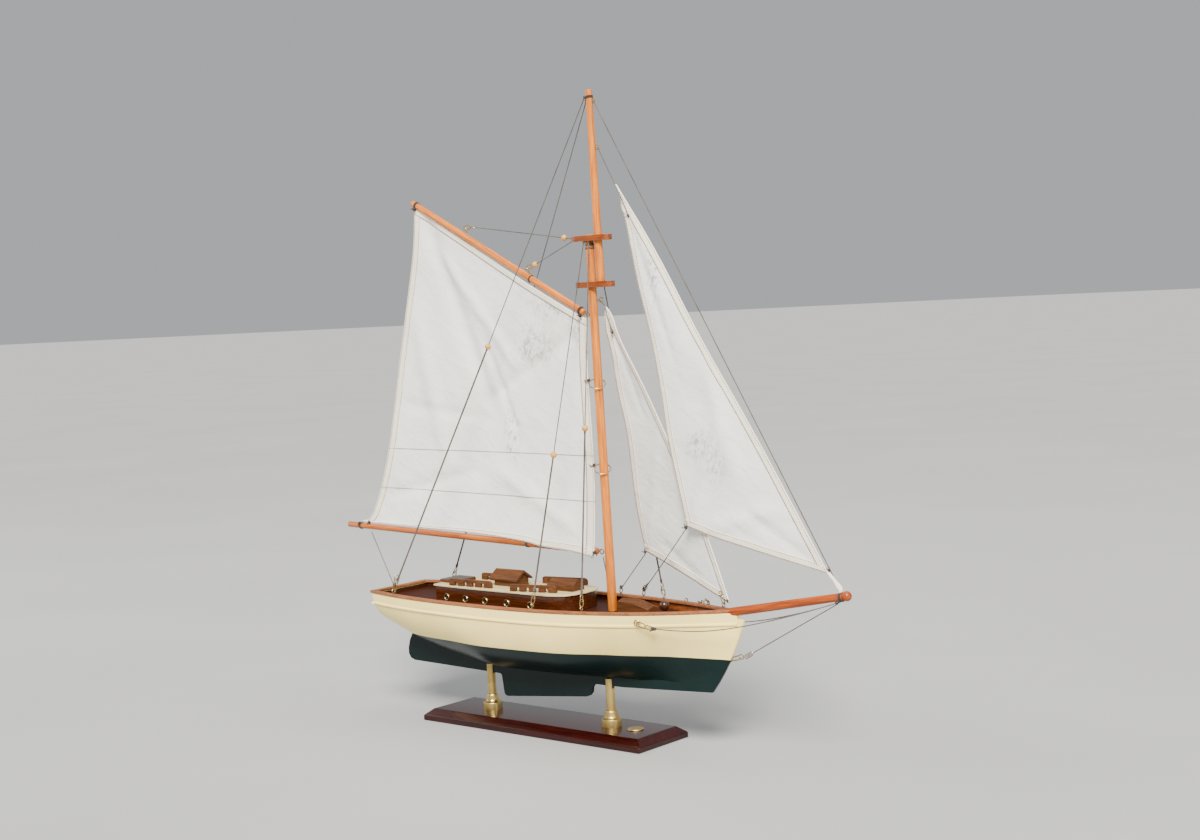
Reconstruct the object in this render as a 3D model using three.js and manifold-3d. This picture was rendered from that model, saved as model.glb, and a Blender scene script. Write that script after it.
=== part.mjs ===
// A decorative gaff-cutter sailing model on a mahogany plinth with two slotted brass pillars.
// Millimetres. +X is the bow, +Y is port, +Z is up. The origin is the middle of the plinth's underside.
import * as THREE from "three";
import { ConvexGeometry } from "three/addons/geometries/ConvexGeometry.js";
import { mergeVertices } from "three/addons/utils/BufferGeometryUtils.js";
import Module from "manifold-3d";

const wasm = await Module();
wasm.setup();

// ---------------------------------------------------------------- driving dimensions
const GAP = 0.3; // clearance between pieces that touch
const PORT = 1;
const STARBOARD = -1;

// stand
const PLINTH = { length: 265, width: 70, height: 10.7, edge: 4.8, bevel: 7.4 };
const PILLAR = { x: 73.5, tubeRadius: 4, footRadius: 9.1, footHeight: 14.4, top: 54, slotFloor: 45.1 };
const PLAQUE = { x: 101, radius: 7.6, thickness: 0.7 };

// hull lines: nominal stations run from the transom to the bow along the rail
const STERN_X = -194;
const BOW_X = 216.6;
const FULLEST_X = -30; // station of the greatest beam
const HALF_BEAM = 54.6;
const TRANSOM_NARROWING = 1 / 3; // share of the half beam lost at the transom
const RAIL_Z = 118.1;
const BOW_SHEER = 5.7;
const STERN_SHEER = 0.3;
const TRANSOM_RAKE = 0.12;
// Cross-sections from stern to bow: rail station x, then how boxy the bilge is and how full the side is.
const SECTION_SHAPE = [
  [STERN_X, 2.4, 1.4],
  [-153, 2.2, 1.6],
  [-89, 2, 1.5],
  [-31, 2.4, 2],
  [46, 2.4, 2],
  [110, 1.5, 1.5],
  [163, 1.2, 1],
  [BOW_X, 1.1, 1],
];
const KEELSON = { deepest: 53.7, deepestX: -40, sternRise: 29.5, bowRise: 3.5, sternX: -190, bowX: 186 };
const STEM = { x: 189, z: 52.7, slope: 0.79, bend: 0.00367, headZ: 118.2 };
const PLANK_END_X = 217; // the planking stops here above the turn of the stem
const STEM_SIDING = 3; // thickness of the keel, fin and stem board
const STRAKE = { top: 8.2, bottom: 11.2, stand: 1.3 }; // rubbing strake below the rail
const WALL = 2.4; // bulwark thickness
const WELL_FLOOR = 112.7;
const DECK = { bottom: 113, top: 114.5 };
const CAP_RAIL = { over: 0.8, inside: 4.4, thickness: 2.4 };

// cabin
const TRUNK = { bottom: DECK.top + GAP, top: 128.8 };
const ROOF = { bottom: TRUNK.top + GAP, top: 130.7, overhang: 1.4 };
const ON_ROOF = ROOF.top + GAP;
const WINDOW_STRIP = { height: 6.4, thickness: 3, aftCorner: 2.2, foreCorner: 3.4 };
const WINDOW = { count: 4, width: 3.4, height: 3.5, pitchShare: 0.207, shiftAft: 1 };
const AFT_COMPANION = {
  aft: -55,
  fore: -27.3,
  half: 8.5,
  eaveHalf: 11,
  eaveZ: 138,
  ridgeZ: 145.6,
  board: 1.7,
  aftOverhang: 5,
  foreOverhang: 3,
};
const FORE_COMPANION = { aft: 10, fore: 41.5, half: 8.2, eaveZ: 135.6, ridgeZ: 141.6 };
const FOREDECK_HATCH = {
  aft: 93,
  fore: 127.5,
  half: 8,
  eaveBreak: 110,
  ridgeBreak: 113,
  eaveZ: 125.9,
  ridgeZ: 128.3,
  slopeDrop: 5.4,
};
const SLIDING_HATCH = { aft: -120, fore: -97, step: 4, lipZ: 132.2, top: 133.6, width: 26, offCentre: -3 };

// spars
const MAST_RAKE = 0.0212; // aft lean per millimetre of height
const LOWER_MAST = { footX: 81.1, footZ: DECK.top + GAP, topZ: 449.6, footRadius: 4.2, topRadius: 3.7 };
const TOPMAST = { footX: 85.2, footZ: 402.9, topZ: 575.4, footRadius: 3.9, topRadius: 3 };
const MAST_CAP = { aft: 55.6, fore: 98.5, z: 446.3, thickness: 5, halfWidth: 6 };
const TRESTLE = { aft: 57.8, fore: 99.4, z: 405.5, thickness: 5.2, halfWidth: 6.2 };
const BOWSPRIT = { heelX: 187, tipX: 324, tipZ: 144.6, slope: 0.1856, heelRadius: 4, tipRadius: 3.3, knob: 4.2 };
const BOOM = { aft: [-262, 178.6], fore: [67, 168.1], radius: 3 };
const GAFF = { aft: [-146, 492.8], fore: [64.4, 380.9], radius: 3.1 };
const HOOP = {
  radius: 7.3,
  wire: 0.6,
  tilt: 0.6,
  lean: [0.674, -0.738],
  heights: { upper: 318, lower: 242.4 },
};
const CLOTH = 0.8; // thickness given to a sail
const THREAD = 0.4; // radius of the rigging thread

// ---------------------------------------------------------------- materials
function finish(color, roughness, metalness = 0) {
  return new THREE.MeshStandardMaterial({ color, roughness, metalness });
}
const MAHOGANY = () => finish(0x43120c, 0.25);
const BRASS = () => finish(0xc8a559, 0.28, 1);
const HULL_PAINT = () => finish(0xf1e5c2, 0.35);
const KEEL_PAINT = () => finish(0x0e2a28, 0.3);
const DECK_WOOD = () => finish(0x2f0f0a, 0.3);
const RAIL_WOOD = () => finish(0xb07a58, 0.5);
const ROOF_PAINT = () => finish(0xe4e0c8, 0.55);
const HATCH_WOOD = () => finish(0x8a5a2c, 0.5);
const SPAR_WOOD = () => finish(0xc06a2a, 0.4);
const SAIL_COTTON = () => finish(0xe4e0dc, 0.9);
const RIGGING_THREAD = () => finish(0x6b655e, 0.85);
const BEAD_WOOD = () => finish(0xb9853f, 0.45);
const BOLLARD_WOOD = () => finish(0x2e1309, 0.2);

// ---------------------------------------------------------------- geometry helpers
const ship = new THREE.Group();

function add(name, geometry, material) {
  const mesh = new THREE.Mesh(geometry, material);
  mesh.name = name;
  ship.add(mesh);
  return mesh;
}

function point(x, y, z) {
  return new THREE.Vector3(x, y, z);
}

// Smooth change from 0 to 1 as the value goes from one limit to the other, either way round.
function smoothstep(from, to, value) {
  const share = THREE.MathUtils.clamp((value - from) / (to - from), 0, 1);
  return share * share * (3 - 2 * share);
}

function solidOf(geometry) {
  const bare = new THREE.BufferGeometry();
  bare.setAttribute("position", geometry.getAttribute("position"));
  bare.setIndex(geometry.index);
  const merged = mergeVertices(bare, 1e-4);
  const vertProperties = new Float32Array(merged.getAttribute("position").array);
  const triVerts = new Uint32Array(merged.index.array);
  return new wasm.Manifold(new wasm.Mesh({ numProp: 3, vertProperties, triVerts }));
}

function geometryOf(solid) {
  const mesh = solid.getMesh();
  const geometry = new THREE.BufferGeometry();
  geometry.setAttribute("position", new THREE.BufferAttribute(mesh.vertProperties, mesh.numProp));
  geometry.setIndex(new THREE.BufferAttribute(mesh.triVerts, 1));
  geometry.computeVertexNormals();
  return geometry;
}

function minus(geometry, ...cutters) {
  let solid = solidOf(geometry);
  for (const cutter of cutters) solid = solid.subtract(solidOf(cutter));
  return geometryOf(solid);
}

// Volume inside a closed skin, negative when its faces look inwards.
function signedVolume(vertices, faces) {
  const corner = (i) => point(vertices[3 * i], vertices[3 * i + 1], vertices[3 * i + 2]);
  let six = 0;
  for (let f = 0; f < faces.length; f += 3) {
    six += corner(faces[f]).dot(corner(faces[f + 1]).cross(corner(faces[f + 2])));
  }
  return six / 6;
}

// A closed skin through rings of points that all have the same count, with a fan over each end.
function loft(rings) {
  const count = rings[0].length;
  const vertices = [];
  const faces = [];
  for (const ring of rings) for (const p of ring) vertices.push(p.x, p.y, p.z);
  for (let r = 0; r + 1 < rings.length; r++) {
    for (let i = 0; i < count; i++) {
      const a = r * count + i;
      const b = r * count + ((i + 1) % count);
      faces.push(a, b, b + count, a, b + count, a + count);
    }
  }
  const endFans = [
    [0, 1],
    [rings.length - 1, -1],
  ];
  for (const [r, turn] of endFans) {
    const middle = rings[r].reduce((sum, p) => sum.add(p), point(0, 0, 0)).divideScalar(count);
    const centre = vertices.length / 3;
    vertices.push(middle.x, middle.y, middle.z);
    for (let i = 0; i < count; i++) {
      const a = r * count + i;
      const b = r * count + ((i + 1) % count);
      if (turn > 0) faces.push(centre, b, a);
      else faces.push(centre, a, b);
    }
  }
  if (signedVolume(vertices, faces) < 0) faces.reverse();
  const geometry = new THREE.BufferGeometry();
  geometry.setAttribute("position", new THREE.Float32BufferAttribute(vertices, 3));
  geometry.setIndex(faces);
  return geometry;
}

// An outline in the ship's X-Z plane given a thickness along Y, centred on y = 0.
function plateAlongShip(outline, thickness, holes = []) {
  const shape = new THREE.Shape(outline.map(([x, z]) => new THREE.Vector2(x, z)));
  for (const hole of holes) shape.holes.push(hole);
  const geometry = new THREE.ExtrudeGeometry(shape, { depth: thickness, bevelEnabled: false });
  geometry.rotateX(Math.PI / 2);
  geometry.translate(0, thickness / 2, 0);
  return geometry;
}

// An outline in plan raised from one height to another.
function plateInPlan(outline, bottom, top, holes = []) {
  const shape = new THREE.Shape(outline.map(([x, y]) => new THREE.Vector2(x, y)));
  for (const hole of holes) shape.holes.push(hole);
  const geometry = new THREE.ExtrudeGeometry(shape, {
    depth: top - bottom,
    bevelEnabled: false,
    curveSegments: 6,
  });
  geometry.translate(0, 0, bottom);
  return geometry;
}

function roundHole(x, y, radius) {
  const hole = new THREE.Path();
  hole.absarc(x, y, radius, 0, 2 * Math.PI, true);
  return hole;
}

// A round bar from one point to another, with a radius at each end.
function bar(from, to, fromRadius, toRadius = fromRadius, sides = 16) {
  const along = to.clone().sub(from);
  const geometry = new THREE.CylinderGeometry(toRadius, fromRadius, along.length(), sides);
  geometry.translate(0, along.length() / 2, 0);
  const turn = new THREE.Quaternion().setFromUnitVectors(point(0, 1, 0), along.normalize());
  geometry.applyQuaternion(turn);
  geometry.translate(from.x, from.y, from.z);
  return geometry;
}

function turned(profile, sides = 20) {
  const geometry = new THREE.LatheGeometry(
    profile.map(([radius, height]) => new THREE.Vector2(radius, height)),
    sides,
  );
  geometry.rotateX(Math.PI / 2);
  return geometry;
}

// Thread of eight sides through the points, straight between two of them and smooth through more.
function thread(...points) {
  const sides = 8;
  const section = new THREE.Shape();
  for (let i = 0; i < sides; i++) {
    const angle = (2 * Math.PI * i) / sides;
    const x = THREAD * Math.cos(angle);
    const y = THREAD * Math.sin(angle);
    if (i === 0) section.moveTo(x, y);
    else section.lineTo(x, y);
  }
  section.closePath();
  const straight = points.length === 2;
  const path = straight ? new THREE.LineCurve3(points[0], points[1]) : new THREE.CatmullRomCurve3(points);
  const steps = straight ? 1 : 6 * (points.length - 1);
  return new THREE.ExtrudeGeometry(section, { steps, extrudePath: path, bevelEnabled: false });
}

// ---------------------------------------------------------------- hull lines
function railHalfBeam(x) {
  if (x > FULLEST_X) return HALF_BEAM * (1 - ((x - FULLEST_X) / (BOW_X - FULLEST_X)) ** 2.36);
  return HALF_BEAM * (1 - TRANSOM_NARROWING * ((FULLEST_X - x) / (FULLEST_X - STERN_X)) ** 2.5);
}

function railHeight(x) {
  if (x > FULLEST_X) return RAIL_Z + BOW_SHEER * ((x - FULLEST_X) / (BOW_X - FULLEST_X)) ** 2.4;
  return RAIL_Z + (STERN_SHEER * (FULLEST_X - x)) / (FULLEST_X - STERN_X);
}

function stemX(z) {
  const rise = z - STEM.z;
  return STEM.x + STEM.slope * rise - STEM.bend * rise * rise;
}

function bottomHeight(x) {
  const { deepest, deepestX, sternRise, bowRise, sternX, bowX } = KEELSON;
  if (x < deepestX) return deepest + sternRise * ((deepestX - x) / (deepestX - sternX)) ** 1.9;
  return deepest + bowRise * ((x - deepestX) / (bowX - deepestX)) ** 1.5;
}

// Where station s (0 at the transom, 1 at the bow) lies at height z, because both ends are raked.
function stationX(s, z) {
  const stern = STERN_X + TRANSOM_RAKE * (RAIL_Z - Math.min(z, RAIL_Z));
  const bow = Math.min(stemX(z) - 4, PLANK_END_X);
  return stern + (bow - stern) * s;
}

// Shape of the cross-section at a rail station, changing smoothly between the given ones.
function sectionShape(railX) {
  let row = 0;
  while (row < SECTION_SHAPE.length - 2 && SECTION_SHAPE[row + 1][0] < railX) row++;
  const [from, to] = [SECTION_SHAPE[row], SECTION_SHAPE[row + 1]];
  const share = smoothstep(from[0], to[0], railX);
  const between = (i) => from[i] + (to[i] - from[i]) * share;
  return { power: between(1), fullness: between(2) };
}

// Half breadth of station s at height z: round at the quarters, full amidships, sharp at the bow.
function halfBreadth(s, z) {
  const railX = STERN_X + (BOW_X - STERN_X) * s;
  const railZ = railHeight(railX);
  const bottom = bottomHeight(KEELSON.sternX + (KEELSON.bowX - KEELSON.sternX) * s);
  const drop = THREE.MathUtils.clamp((railZ - z) / (railZ - bottom), 0, 1);
  const { power, fullness } = sectionShape(railX);
  return railHalfBeam(railX) * (1 - drop ** power) ** (1 / fullness);
}

function stationEnds(s) {
  const railZ = railHeight(STERN_X + (BOW_X - STERN_X) * s);
  const bottom = bottomHeight(KEELSON.sternX + (KEELSON.bowX - KEELSON.sternX) * s);
  return { railZ, bottom };
}

const LAST_STATION = 0.995;
function stations(count) {
  return Array.from({ length: count + 1 }, (_, i) => (LAST_STATION * i) / count);
}

// One cross-section of the hull from the port rail round the keel to the starboard rail.
function hullSection(s) {
  const { railZ, bottom } = stationEnds(s);
  const depth = railZ - bottom;
  const levels = [
    [railZ, 0],
    [railZ - STRAKE.top, 0],
    [railZ - STRAKE.top - 0.5, STRAKE.stand],
    [railZ - STRAKE.bottom + 0.3, STRAKE.stand],
    [railZ - STRAKE.bottom, 0],
  ];
  const roundSteps = 9;
  const start = STRAKE.bottom / depth;
  for (let i = 1; i <= roundSteps; i++) {
    const drop = start + (1 - start) * Math.sin((Math.PI / 2) * (i / roundSteps));
    levels.push([railZ - depth * drop, 0]);
  }
  const side = (y) =>
    levels.map(([z, stand]) => point(stationX(s, z), y * (halfBreadth(s, z) + stand), z));
  const port = side(PORT);
  const starboard = side(STARBOARD).slice(0, -1).reverse();
  port[port.length - 1].y = 0;
  return [...port, ...starboard];
}

// A level slab that follows the hull's sides, inset from them, between two heights.
function insetSlab(inset, bottomOf, topOf, count = 20, first = 0, last = 0.93) {
  const rings = [];
  for (let i = 0; i <= count; i++) {
    const s = first + ((last - first) * i) / count;
    const low = bottomOf(s);
    const high = topOf(s);
    const corners = [];
    for (const [z, y] of [
      [low, STARBOARD],
      [low, PORT],
      [high, PORT],
      [high, STARBOARD],
    ]) {
      const half = Math.max(halfBreadth(s, z) - inset, 0.4);
      corners.push(point(stationX(s, z), y * half, z));
    }
    rings.push(corners);
  }
  return loft(rings);
}

function railOf(s) {
  return stationEnds(s).railZ;
}

// ---------------------------------------------------------------- stand
function plinth() {
  const { length, width, height, edge, bevel } = PLINTH;
  const ring = (inset, z) => {
    const x = length / 2 - inset;
    const y = width / 2 - inset;
    return [point(-x, -y, z), point(x, -y, z), point(x, y, z), point(-x, y, z)];
  };
  return loft([ring(0, 0), ring(0, edge), ring(bevel, height)]);
}

function plaque() {
  const z = PLINTH.height + GAP;
  const { radius, thickness } = PLAQUE;
  const disc = turned([
    [0, z],
    [radius, z],
    [radius - 0.3, z + thickness],
    [0, z + thickness],
  ]);
  return disc.translate(PLAQUE.x, 0, 0);
}

// Turned foot with a socket for the pillar tube.
function pillarFoot(x) {
  const base = PLINTH.height + GAP;
  const socket = PILLAR.tubeRadius + GAP;
  const foot = PILLAR.footRadius;
  const profile = [
    [socket, base],
    [foot, base],
    [foot, base + 6],
    [foot - 0.8, base + 6.6],
    [5.6, base + 8.2],
    [5.3, base + 12.2],
    [4.8, base + PILLAR.footHeight],
    [socket, base + PILLAR.footHeight],
    [socket, base],
  ];
  return turned(profile, 24).translate(x, 0, 0);
}

// Pillar tube whose top is slotted fore and aft to stand astride the keel.
function pillarTube(x) {
  const tube = bar(
    point(x, 0, PLINTH.height + 2 * GAP),
    point(x, 0, PILLAR.top),
    PILLAR.tubeRadius,
    PILLAR.tubeRadius,
    20,
  );
  const slotWidth = STEM_SIDING + 2 * GAP;
  const slot = new THREE.BoxGeometry(12, slotWidth, 20);
  slot.translate(x, 0, PILLAR.slotFloor + 10);
  return minus(tube, slot);
}

// ---------------------------------------------------------------- hull
// Outline of the keel, fin and stem board; grow widens the part let into the hull.
function keelOutline(grow) {
  const letIn = 2 + grow;
  const stemCurve = [];
  for (let z = STEM.z; z < STEM.headZ; z += 9) stemCurve.push([stemX(z), z]);
  const inside = [];
  for (let z = STEM.headZ; z > 62; z -= 9) {
    inside.push([Math.min(stemX(z) - 4, PLANK_END_X) - letIn, z]);
  }
  const along = [];
  for (let x = 180; x > -165; x -= 23) along.push([x, bottomHeight(x) + letIn]);
  return [
    [-176.6, 76],
    [-181.6, 67.5],
    [-184, 59],
    [-183.8, 53.5],
    [-181, 49.6],
    [-176, 47.9],
    [-60.5, 45.7],
    [-58.8, 44.5],
    [-56.4, 27.2],
    [-54.8, 25.4],
    [-51.7, 24.9],
    [45.6, 34.5],
    [50.6, 36.2],
    [53.2, 39.6],
    [54, 44.2],
    [56.4, 47.1],
    [90, 47.4],
    ...stemCurve,
    [stemX(STEM.headZ) - 0.6, STEM.headZ],
    ...inside,
    ...along,
    [-171, bottomHeight(-171) + letIn],
  ];
}

function bowspritAxis(x) {
  return point(x, 0, BOWSPRIT.tipZ - BOWSPRIT.slope * (BOWSPRIT.tipX - x));
}

function bowspritClearance() {
  return bar(bowspritAxis(160), bowspritAxis(240), BOWSPRIT.heelRadius + 0.4);
}

function hull() {
  const body = loft(stations(26).map(hullSection));
  const well = insetSlab(WALL, () => WELL_FLOOR, (s) => railOf(s) + 4, 22, 0.009, 0.955);
  const keelSlot = plateAlongShip(keelOutline(GAP), STEM_SIDING + 2 * GAP);
  return minus(body, well, keelSlot, bowspritClearance());
}

function keelBoard() {
  return minus(plateAlongShip(keelOutline(0), STEM_SIDING), bowspritClearance());
}

function deck() {
  return insetSlab(WALL + 2 * GAP, () => DECK.bottom, () => DECK.top, 22, 0.011, 0.92);
}

function capRail() {
  const low = (s) => railOf(s) + GAP;
  const high = (s) => railOf(s) + GAP + CAP_RAIL.thickness;
  const outer = insetSlab(-CAP_RAIL.over, low, high, 26, -0.004, LAST_STATION);
  const inner = insetSlab(CAP_RAIL.inside, (s) => low(s) - 2, (s) => high(s) + 2, 26, 0.009, 0.93);
  return minus(outer, inner, bowspritClearance());
}

// ---------------------------------------------------------------- cabin and deck fittings
const TRUNK_SIDE = [
  [-117, 24.6],
  [-92, 26.6],
  [-42, 28.2],
  [0, 29],
  [20, 28.8],
  [34, 27.2],
  [43, 23],
  [48, 14.5],
  [50, 0],
];

function trunkOutline(grow) {
  const curve = new THREE.SplineCurve(TRUNK_SIDE.map(([x, y]) => new THREE.Vector2(x, y)));
  const port = curve.getPoints(22).map((p) => {
    const outward = p.x > 34 ? grow * ((p.x - 34) / 16) : 0;
    return [p.x + outward, p.y > 0 ? p.y + grow * Math.min(1, p.y / 20) : 0];
  });
  port[0][0] -= grow;
  const starboard = port.slice(0, -1).map(([x, y]) => [x, -y]);
  return [...starboard, ...port.reverse()];
}

function trunk() {
  return plateInPlan(trunkOutline(0), TRUNK.bottom, TRUNK.top);
}

function roof() {
  return plateInPlan(trunkOutline(ROOF.overhang), ROOF.bottom, ROOF.top);
}

// Quarter circle that rounds off an upper corner, starting at the given angle.
function roundedCorner(middleX, middleZ, radius, startAngle) {
  const steps = 4;
  return Array.from({ length: steps + 1 }, (_, i) => {
    const angle = startAngle + (Math.PI / 2) * (i / steps);
    return [middleX + radius * Math.cos(angle), middleZ + radius * Math.sin(angle)];
  });
}

// Upright strip with a row of window notches along its foot and rounded upper corners.
function windowStrip(length) {
  const { height, thickness, aftCorner, foreCorner } = WINDOW_STRIP;
  const half = length / 2;
  const outline = [[-half, 0]];
  for (let i = 0; i < WINDOW.count; i++) {
    const middle = (i - (WINDOW.count - 1) / 2) * WINDOW.pitchShare * length - WINDOW.shiftAft;
    const [left, right] = [middle - WINDOW.width / 2, middle + WINDOW.width / 2];
    outline.push([left, 0], [left, WINDOW.height], [right, WINDOW.height], [right, 0]);
  }
  outline.push([half, 0]);
  outline.push(...roundedCorner(half - foreCorner, height - foreCorner, foreCorner, 0));
  outline.push(...roundedCorner(aftCorner - half, height - aftCorner, aftCorner, Math.PI / 2));
  return plateAlongShip(outline, thickness);
}

// The strips were set down by hand, so each has its own place and turn on the roof.
const WINDOW_STRIPS = [
  { name: "port_aft_windows", x: -65.5, y: 14.2, turn: 0, length: 54 },
  { name: "port_fore_windows", x: 4.7, y: 23.6, turn: 0.15, length: 49 },
  { name: "starboard_aft_windows", x: -70.5, y: -24.5, turn: 0.044, length: 52.5 },
  { name: "starboard_fore_windows", x: 7.4, y: -23, turn: 0.19, length: 49.4 },
];

// A section across the ship, as [y, z] points, carried from one station to another.
function prismAlongShip(section, aft, fore) {
  const shape = new THREE.Shape(section.map(([y, z]) => new THREE.Vector2(y, z)));
  const geometry = new THREE.ExtrudeGeometry(shape, { depth: fore - aft, bevelEnabled: false });
  geometry.rotateX(Math.PI / 2);
  geometry.rotateZ(Math.PI / 2);
  return geometry.translate(aft, 0, 0);
}

// Plain gabled hatch whose roof ends flush with its walls.
function gabledHatch({ aft, fore, half, eaveZ, ridgeZ }) {
  const section = [
    [-half, ON_ROOF],
    [half, ON_ROOF],
    [half, eaveZ],
    [0, ridgeZ],
    [-half, eaveZ],
  ];
  return prismAlongShip(section, aft, fore);
}

// Companionway with walls set in under an overhanging gable roof.
function companionway({ aft, fore, half, eaveHalf, eaveZ, ridgeZ, board, aftOverhang, foreOverhang }) {
  const pitch = (ridgeZ - eaveZ) / eaveHalf;
  const soffit = (y) => ridgeZ - board - pitch * y;
  const section = [
    [-half, ON_ROOF],
    [half, ON_ROOF],
    [half, soffit(half)],
    [eaveHalf, soffit(eaveHalf)],
    [eaveHalf, eaveZ],
    [0, ridgeZ],
    [-eaveHalf, eaveZ],
    [-eaveHalf, soffit(eaveHalf)],
    [-half, soffit(half)],
  ];
  const house = prismAlongShip(section, aft - aftOverhang, fore + foreOverhang);
  const margin = 1;
  const wide = half + margin;
  const underGable = [
    [-wide, ON_ROOF - margin],
    [wide, ON_ROOF - margin],
    [wide, soffit(wide) - GAP],
    [0, soffit(0) - GAP],
    [-wide, soffit(wide) - GAP],
  ];
  const aftCut = prismAlongShip(underGable, aft - aftOverhang - margin, aft);
  const foreCut = prismAlongShip(underGable, fore, fore + foreOverhang + margin);
  return minus(house, aftCut, foreCut);
}

// Flat hatch whose aft end is a lip clear of the roof.
function slidingHatch() {
  const { aft, fore, step, lipZ, top, width, offCentre } = SLIDING_HATCH;
  const outline = [
    [aft + step, lipZ],
    [aft + step, ON_ROOF],
    [fore, ON_ROOF],
    [fore, top],
    [aft, top],
    [aft, lipZ],
  ];
  return plateAlongShip(outline, width).translate(0, offCentre, 0);
}

// Gabled hatch on the foredeck whose fore end slopes down.
function foredeckHatch() {
  const { aft, fore, half, eaveBreak, ridgeBreak, eaveZ, ridgeZ, slopeDrop } = FOREDECK_HATCH;
  const foot = DECK.top + GAP;
  return new ConvexGeometry([
    ...[-half, half].flatMap((y) => [point(aft, y, foot), point(fore, y, foot)]),
    ...[-half, half].flatMap((y) => [point(aft, y, eaveZ), point(eaveBreak, y, eaveZ)]),
    ...[-half, half].map((y) => point(fore, y, eaveZ - slopeDrop)),
    point(aft, 0, ridgeZ),
    point(ridgeBreak, 0, ridgeZ),
    point(fore, 0, ridgeZ - slopeDrop),
  ]);
}

// Ball-headed bollard on the foredeck.
function bollard() {
  const foot = DECK.top + GAP;
  const ball = 4.4;
  const centre = 124.2;
  const profile = [
    [0, foot],
    [3.4, foot],
    [2.2, foot + 1.2],
    [2, centre - 3.9],
  ];
  for (let i = 1; i <= 8; i++) {
    const angle = -1.08 + (i / 8) * (Math.PI / 2 + 1.08);
    profile.push([i === 8 ? 0 : ball * Math.cos(angle), centre + ball * Math.sin(angle)]);
  }
  return turned(profile, 20).translate(140, 0, 0);
}

// ---------------------------------------------------------------- spars
function mastX(mast, z) {
  return mast.footX - MAST_RAKE * (z - mast.footZ);
}

function mast(spec) {
  const foot = point(spec.footX, 0, spec.footZ);
  const top = point(mastX(spec, spec.topZ), 0, spec.topZ);
  return bar(foot, top, spec.footRadius, spec.topRadius);
}

// Plank with round ends and a hole for each mast.
function mastPlank({ aft, fore, z, thickness, halfWidth }) {
  const outline = [];
  for (let i = 0; i <= 8; i++) {
    const angle = -Math.PI / 2 + (Math.PI * i) / 8;
    outline.push([fore - halfWidth + halfWidth * Math.cos(angle), halfWidth * Math.sin(angle)]);
  }
  for (let i = 0; i <= 8; i++) {
    const angle = Math.PI / 2 + (Math.PI * i) / 8;
    outline.push([aft + halfWidth + halfWidth * Math.cos(angle), halfWidth * Math.sin(angle)]);
  }
  const holes = [LOWER_MAST, TOPMAST].map((m) => {
    const span = (z - m.footZ) / (m.topZ - m.footZ);
    const radius = m.footRadius + (m.topRadius - m.footRadius) * span;
    return roundHole(mastX(m, z), 0, radius + 0.45);
  });
  return plateInPlan(outline, z - thickness / 2, z + thickness / 2, holes);
}

function bowsprit() {
  const heel = bowspritAxis(BOWSPRIT.heelX);
  const tip = bowspritAxis(BOWSPRIT.tipX);
  const length = heel.distanceTo(tip);
  const { heelRadius, tipRadius, knob } = BOWSPRIT;
  const profile = [
    [0, 0],
    [heelRadius, 0],
    [tipRadius, length - 1],
    [2.7, length],
  ];
  for (let i = 1; i <= 7; i++) {
    const angle = -0.87 + (i / 7) * (Math.PI / 2 + 0.87);
    profile.push([i === 7 ? 0 : knob * Math.cos(angle), length + 3.4 + knob * Math.sin(angle)]);
  }
  const geometry = new THREE.LatheGeometry(
    profile.map(([r, h]) => new THREE.Vector2(r, h)),
    16,
  );
  geometry.applyQuaternion(
    new THREE.Quaternion().setFromUnitVectors(point(0, 1, 0), tip.clone().sub(heel).normalize()),
  );
  return geometry.translate(heel.x, heel.y, heel.z);
}

function spar({ aft, fore, radius }) {
  return bar(point(aft[0], 0, aft[1]), point(fore[0], 0, fore[1]), radius * 0.92, radius, 12);
}

// Eye that stands upright in the ship's X-Z plane.
function uprightEye(x, z, radius, wire) {
  return new THREE.TorusGeometry(radius, wire, 6, 20).rotateX(Math.PI / 2).translate(x, 0, z);
}

// Loose wire hoop round the mast, hanging down on its starboard bow side.
function mastHoop(z) {
  const [leanX, leanY] = HOOP.lean;
  const hoop = new THREE.TorusGeometry(HOOP.radius, HOOP.wire, 6, 24);
  hoop.applyMatrix4(new THREE.Matrix4().makeRotationAxis(point(-leanY, leanX, 0), HOOP.tilt));
  return hoop.translate(mastX(LOWER_MAST, z) - 0.9, -0.8, z);
}

// ---------------------------------------------------------------- sails
const MAINSAIL = [
  [-141.5, 486.2],
  [-148.6, 446.8],
  [-161.2, 395.8],
  [-184.8, 303.9],
  [-210.7, 220.6],
  [-228.1, 185.2],
  [-241, 181.9],
  [64.6, 172.3],
  [67, 176],
  [67.6, 240],
  [66.4, 300],
  [65.4, 374.6],
];

const JIB = [
  [107, 490],
  [113, 465],
  [139.6, 358.2],
  [154.2, 266.4],
  [170.2, 195],
  [308, 163.6],
  [277.7, 219.6],
  [237.9, 284.9],
  [195, 352],
  [159.5, 413.2],
  [128.7, 459.5],
];

// The staysail hangs from its luff with the clew drawn out to port.
const STAYSAIL = { head: [89.4, 384.8], tack: [210.4, 131.6], clew: [98.6, 30, 165.3] };
const STAYSAIL_LEECH = [
  [0.33, 4],
  [0.66, 2.5],
];

function staysail() {
  const head = point(STAYSAIL.head[0], 0, STAYSAIL.head[1]);
  const tack = point(STAYSAIL.tack[0], 0, STAYSAIL.tack[1]);
  const clew = point(...STAYSAIL.clew);
  const across = clew.clone().sub(head);
  const forward = tack.clone().sub(clew).normalize();
  const leech = STAYSAIL_LEECH.map(([along, hollow]) =>
    head.clone().addScaledVector(across, along).addScaledVector(forward, hollow),
  );
  const corners = [head, ...leech, clew, tack];
  const normal = tack.clone().sub(head).cross(across).normalize().multiplyScalar(CLOTH / 2);
  return loft([corners.map((p) => p.clone().add(normal)), corners.map((p) => p.clone().sub(normal))]);
}

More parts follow.
